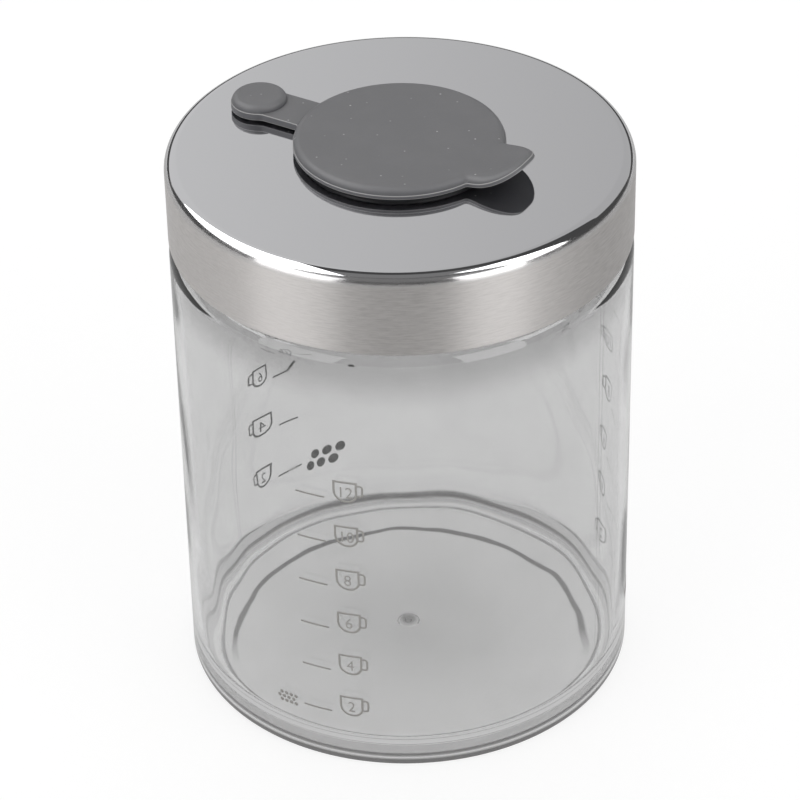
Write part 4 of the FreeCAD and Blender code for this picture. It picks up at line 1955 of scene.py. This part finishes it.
@dataclass
class Studio:
    """Pale floor, soft light, and the camera at the photograph's place."""

    picture: float = 800.0
    focal_px: float = 3525.27
    sensor: float = 36.0
    aim_z: float = 57.0
    distance: float = 746.0
    azimuth: float = 31.0
    elevation: float = 35.374
    roll: float = -1.15
    centre_px: Point = (405.03, 414.12)
    floor_half: float = 6.0
    floor_gap: float = 0.05
    floor_colour: str = "#F3F3F3"
    floor_white: float = 1.08
    floor_share: float = 0.75
    world_levels: dict[str, float] = field(
        default_factory=lambda: {
            "Ambient": 0.55,
            "Is Glossy Ray": 0.09,
            "Is Transmission Ray": 0.75,
            "Is Camera Ray": 0.96,
        }
    )

    def camera(self) -> None:
        """Place the camera."""
        data = bpy.data.cameras.new("camera")
        data.sensor_width = self.sensor
        data.lens = self.focal_px / self.picture * self.sensor
        data.shift_x = (self.picture / 2 - self.centre_px[0]) / self.picture
        data.shift_y = (self.centre_px[1] - self.picture / 2) / self.picture
        data.clip_start = 0.01
        data.clip_end = 50.0
        holder = linked("camera", data)
        a, e, r = (math.radians(v) for v in (self.azimuth, self.elevation, self.roll))
        back = Vector((math.sin(a) * math.cos(e), -math.cos(a) * math.cos(e), math.sin(e)))
        level = Vector((math.cos(a), math.sin(a), 0.0))
        upright = back.cross(level)
        right = level * math.cos(r) + upright * math.sin(r)
        up = upright * math.cos(r) - level * math.sin(r)
        turn = Matrix((right, up, back)).transposed().to_4x4()
        place = Vector((0, 0, self.aim_z * MM)) + back * self.distance * MM
        holder.matrix_world = Matrix.Translation(place) @ turn
        bpy.context.scene.camera = holder

    def towards(self, side: float, height: float, reach: float) -> Vector:
        """Give a place round the object.

        Args:
            side: Degrees to the camera's right, 0 towards the camera and 180 behind.
            height: Degrees above the floor.
            reach: Distance from the object in metres.
        """
        a = math.radians(self.azimuth + side)
        e = math.radians(height)
        way = Vector((math.sin(a) * math.cos(e), -math.cos(a) * math.cos(e), math.sin(e)))
        return way * reach + OBJECT_MIDDLE

    def hang(self, held: bpy.types.Object, side: float, height: float, reach: float) -> None:
        """Hang a lamp or card round the object, facing it; the angles are those of towards."""
        place = self.towards(side, height, reach)
        turn = (OBJECT_MIDDLE - place).to_track_quat("-Z", "Y").to_matrix().to_4x4()
        held.matrix_world = Matrix.Translation(place) @ turn

    @staticmethod
    def sheet(name: str, half_width: float, half_height: float, level: float) -> bpy.types.Object:
        """Make one flat rectangle, in metres, at a height."""
        corners = ((-1, -1), (1, -1), (1, 1), (-1, 1))
        mesh = bpy.data.meshes.new(name)
        mesh.from_pydata(
            [(x * half_width, y * half_height, level) for x, y in corners], [], [(0, 1, 2, 3)]
        )
        return linked(name, mesh)

    def lamp(
        self, name: str, side: float, height: float, reach: float, size: Point, power: float
    ) -> None:
        """Hang a soft area lamp that faces the object; its face shows in no reflection."""
        data = bpy.data.lights.new(name, "AREA")
        data.shape = "RECTANGLE"
        data.size, data.size_y = size
        data.energy = power
        holder = linked(name, data)
        self.hang(holder, side, height, reach)
        holder.visible_glossy = False
        holder.visible_transmission = False

    def card(
        self,
        name: str,
        side: float,
        height: float,
        reach: float,
        size: Point,
        glow: Point,
        blend: float = 1.0,
    ) -> None:
        """Stand a card that shows only in reflections, as a softbox face or a dark flag does.

        Args:
            name: The card's name.
            side: Degrees to the camera's right, 0 towards the camera and 180 behind.
            height: Degrees above the floor.
            reach: Distance from the object in metres.
            size: Width and height in metres.
            glow: Light at its left and right end, as the object sees it.
            blend: Share of its width over which the light changes.
        """
        holder = self.sheet(name, size[0] / 2, size[1] / 2, 0.0)
        self.hang(holder, side, height, reach)
        turning = size[0] / 2 * blend
        for kind in ("camera", "diffuse", "transmission", "volume_scatter", "shadow"):
            setattr(holder, f"visible_{kind}", False)
        material, tree = empty_material(f"{name}_face")
        place = add_node(tree, "ShaderNodeTexCoord").outputs["Object"]
        across = add_node(tree, "ShaderNodeSeparateXYZ", inputs={"Vector": place}).outputs["X"]
        level = add_node(
            tree,
            "ShaderNodeMapRange",
            inputs={
                "Value": across,
                "From Min": turning,
                "From Max": -turning,
                "To Min": glow[0],
                "To Max": glow[1],
            },
        ).outputs[0]
        light = add_node(tree, "ShaderNodeEmission", inputs={"Color": WHITE, "Strength": level})
        finish_material(tree, light.outputs[0])
        holder.data.materials.append(material)

    def floor(self) -> None:
        """Lay the pale floor; it looks white, and it keeps the object's shadow."""
        # A hair below the jar's foot, so that the two faces don't lie in one plane.
        floor = self.sheet("floor", self.floor_half, self.floor_half, -self.floor_gap * MM)
        material, tree = empty_material("pale_floor")
        matt = add_node(
            tree, "ShaderNodeBsdfDiffuse", inputs={"Color": linear(self.floor_colour)}
        )
        white = add_node(tree, "ShaderNodeEmission", inputs={"Strength": self.floor_white})
        path = add_node(tree, "ShaderNodeLightPath").outputs
        seen = path["Is Camera Ray"]
        for kind in ("Is Glossy Ray", "Is Transmission Ray"):
            seen = add_node(
                tree, "ShaderNodeMath", {"operation": "MAXIMUM"}, {0: seen, 1: path[kind]}
            ).outputs[0]
        share = add_node(
            tree, "ShaderNodeMath", {"operation": "MULTIPLY"}, {0: seen, 1: self.floor_share}
        ).outputs[0]
        mixed = add_node(
            tree, "ShaderNodeMixShader", inputs={0: share, 1: matt.outputs[0], 2: white.outputs[0]}
        )
        finish_material(tree, mixed.outputs[0])
        floor.data.materials.append(material)

    def world(self) -> None:
        """Set the studio round it: white to the eye, pale through the jar, dark in reflections."""
        world = bpy.data.worlds.new("studio")
        bpy.context.scene.world = world
        world.use_nodes = True
        tree = world.node_tree
        tree.nodes.clear()
        path = add_node(tree, "ShaderNodeLightPath").outputs
        seen = add_node(
            tree,
            "ShaderNodeBackground",
            inputs={"Color": WHITE, "Strength": self.world_levels["Ambient"]},
        ).outputs[0]
        for kind in ("Is Glossy Ray", "Is Transmission Ray", "Is Camera Ray"):
            level = add_node(
                tree,
                "ShaderNodeBackground",
                inputs={"Color": WHITE, "Strength": self.world_levels[kind]},
            )
            seen = add_node(
                tree, "ShaderNodeMixShader", inputs={0: path[kind], 1: seen, 2: level.outputs[0]}
            ).outputs[0]
        add_node(tree, "ShaderNodeOutputWorld", inputs={"Surface": seen})

    def build(self) -> None:
        """Build the whole studio."""
        self.camera()
        self.floor()
        self.world()
        self.lamp("left_box", -50, 30, 1.1, (0.8, 0.8), 3.25)
        self.lamp("right_box", 54, 30, 1.1, (0.8, 0.8), 3.0)
        self.lamp("top_box", 180, 62, 1.2, (1.0, 0.8), 2.8)
        self.card("left_face", -49, 16, 1.0, (0.68, 0.8), (2.2, 2.2))
        self.card("left_wing", -97, 52, 1.0, (1.05, 0.8), (4.2, 4.2))
        self.card("right_face", 41, 16, 1.0, (0.54, 0.8), (2.7, 2.7))
        self.card("right_wing", 72, 50, 1.0, (0.4, 0.8), (4.2, 4.2))
        self.card("back_face", 180, 38, 1.3, (2.8, 1.0), (0.85, 0.62), 0.12)
        self.card("high_face", 0, 80, 1.2, (0.9, 0.7), (0.28, 0.28))
        self.card("front_face", -4, 44, 1.05, (1.3, 0.62), (0.26, 0.26))
        # Painted shade: a dim card on the floor, seen only in reflections, stands for the shade on the
        # floor round the object.
        self.card("floor_shade_card", 0, -90, 0.0595, (2.4, 2.4), (0.6, 0.6))
        view = bpy.context.scene.view_settings
        view.view_transform = "Standard"


def main() -> None:
    """Build the container, dress it and light it."""
    logging.basicConfig(level=logging.INFO, format="%(name)s: %(message)s")
    _, jar_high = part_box("jar")
    cap_low, cap_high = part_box("lid_cap")
    jar_radius = round(jar_high.x / MM, 3)
    lid_top = round(cap_high.z / MM, 3)
    lid = Lid(radius=round(cap_high.x / MM, 3), top_z=lid_top, foot_z=round(cap_low.z / MM, 3))
    finishes = Finishes(lid_top, lid.edge, jar_radius)
    Studio().build()
    pieces = [Jar(radius=jar_radius, height=round(jar_high.z / MM, 3)).build(finishes)]
    repeat = Repeat(finishes.ink)
    for column in (
        PrintColumn(Grind.FINE, -74.0, 13.3, 11.1, jar_radius),
        PrintColumn(Grind.MEDIUM, 46.0, 13.8, 12.75, jar_radius),
        PrintColumn(Grind.COARSE, 166.0, 16.0, 13.5, jar_radius),
    ):
        pieces.append(column.build(finishes, repeat))
    pieces += [lid.cap(finishes), lid.liner(finishes), lid.seal(finishes)]
    pieces.append(Stopper(lid_top=lid_top).build(finishes))
    for piece in pieces:
        log.info("%s: %d faces", piece.name, len(piece.data.polygons))


if __name__ == "__main__":
    main()
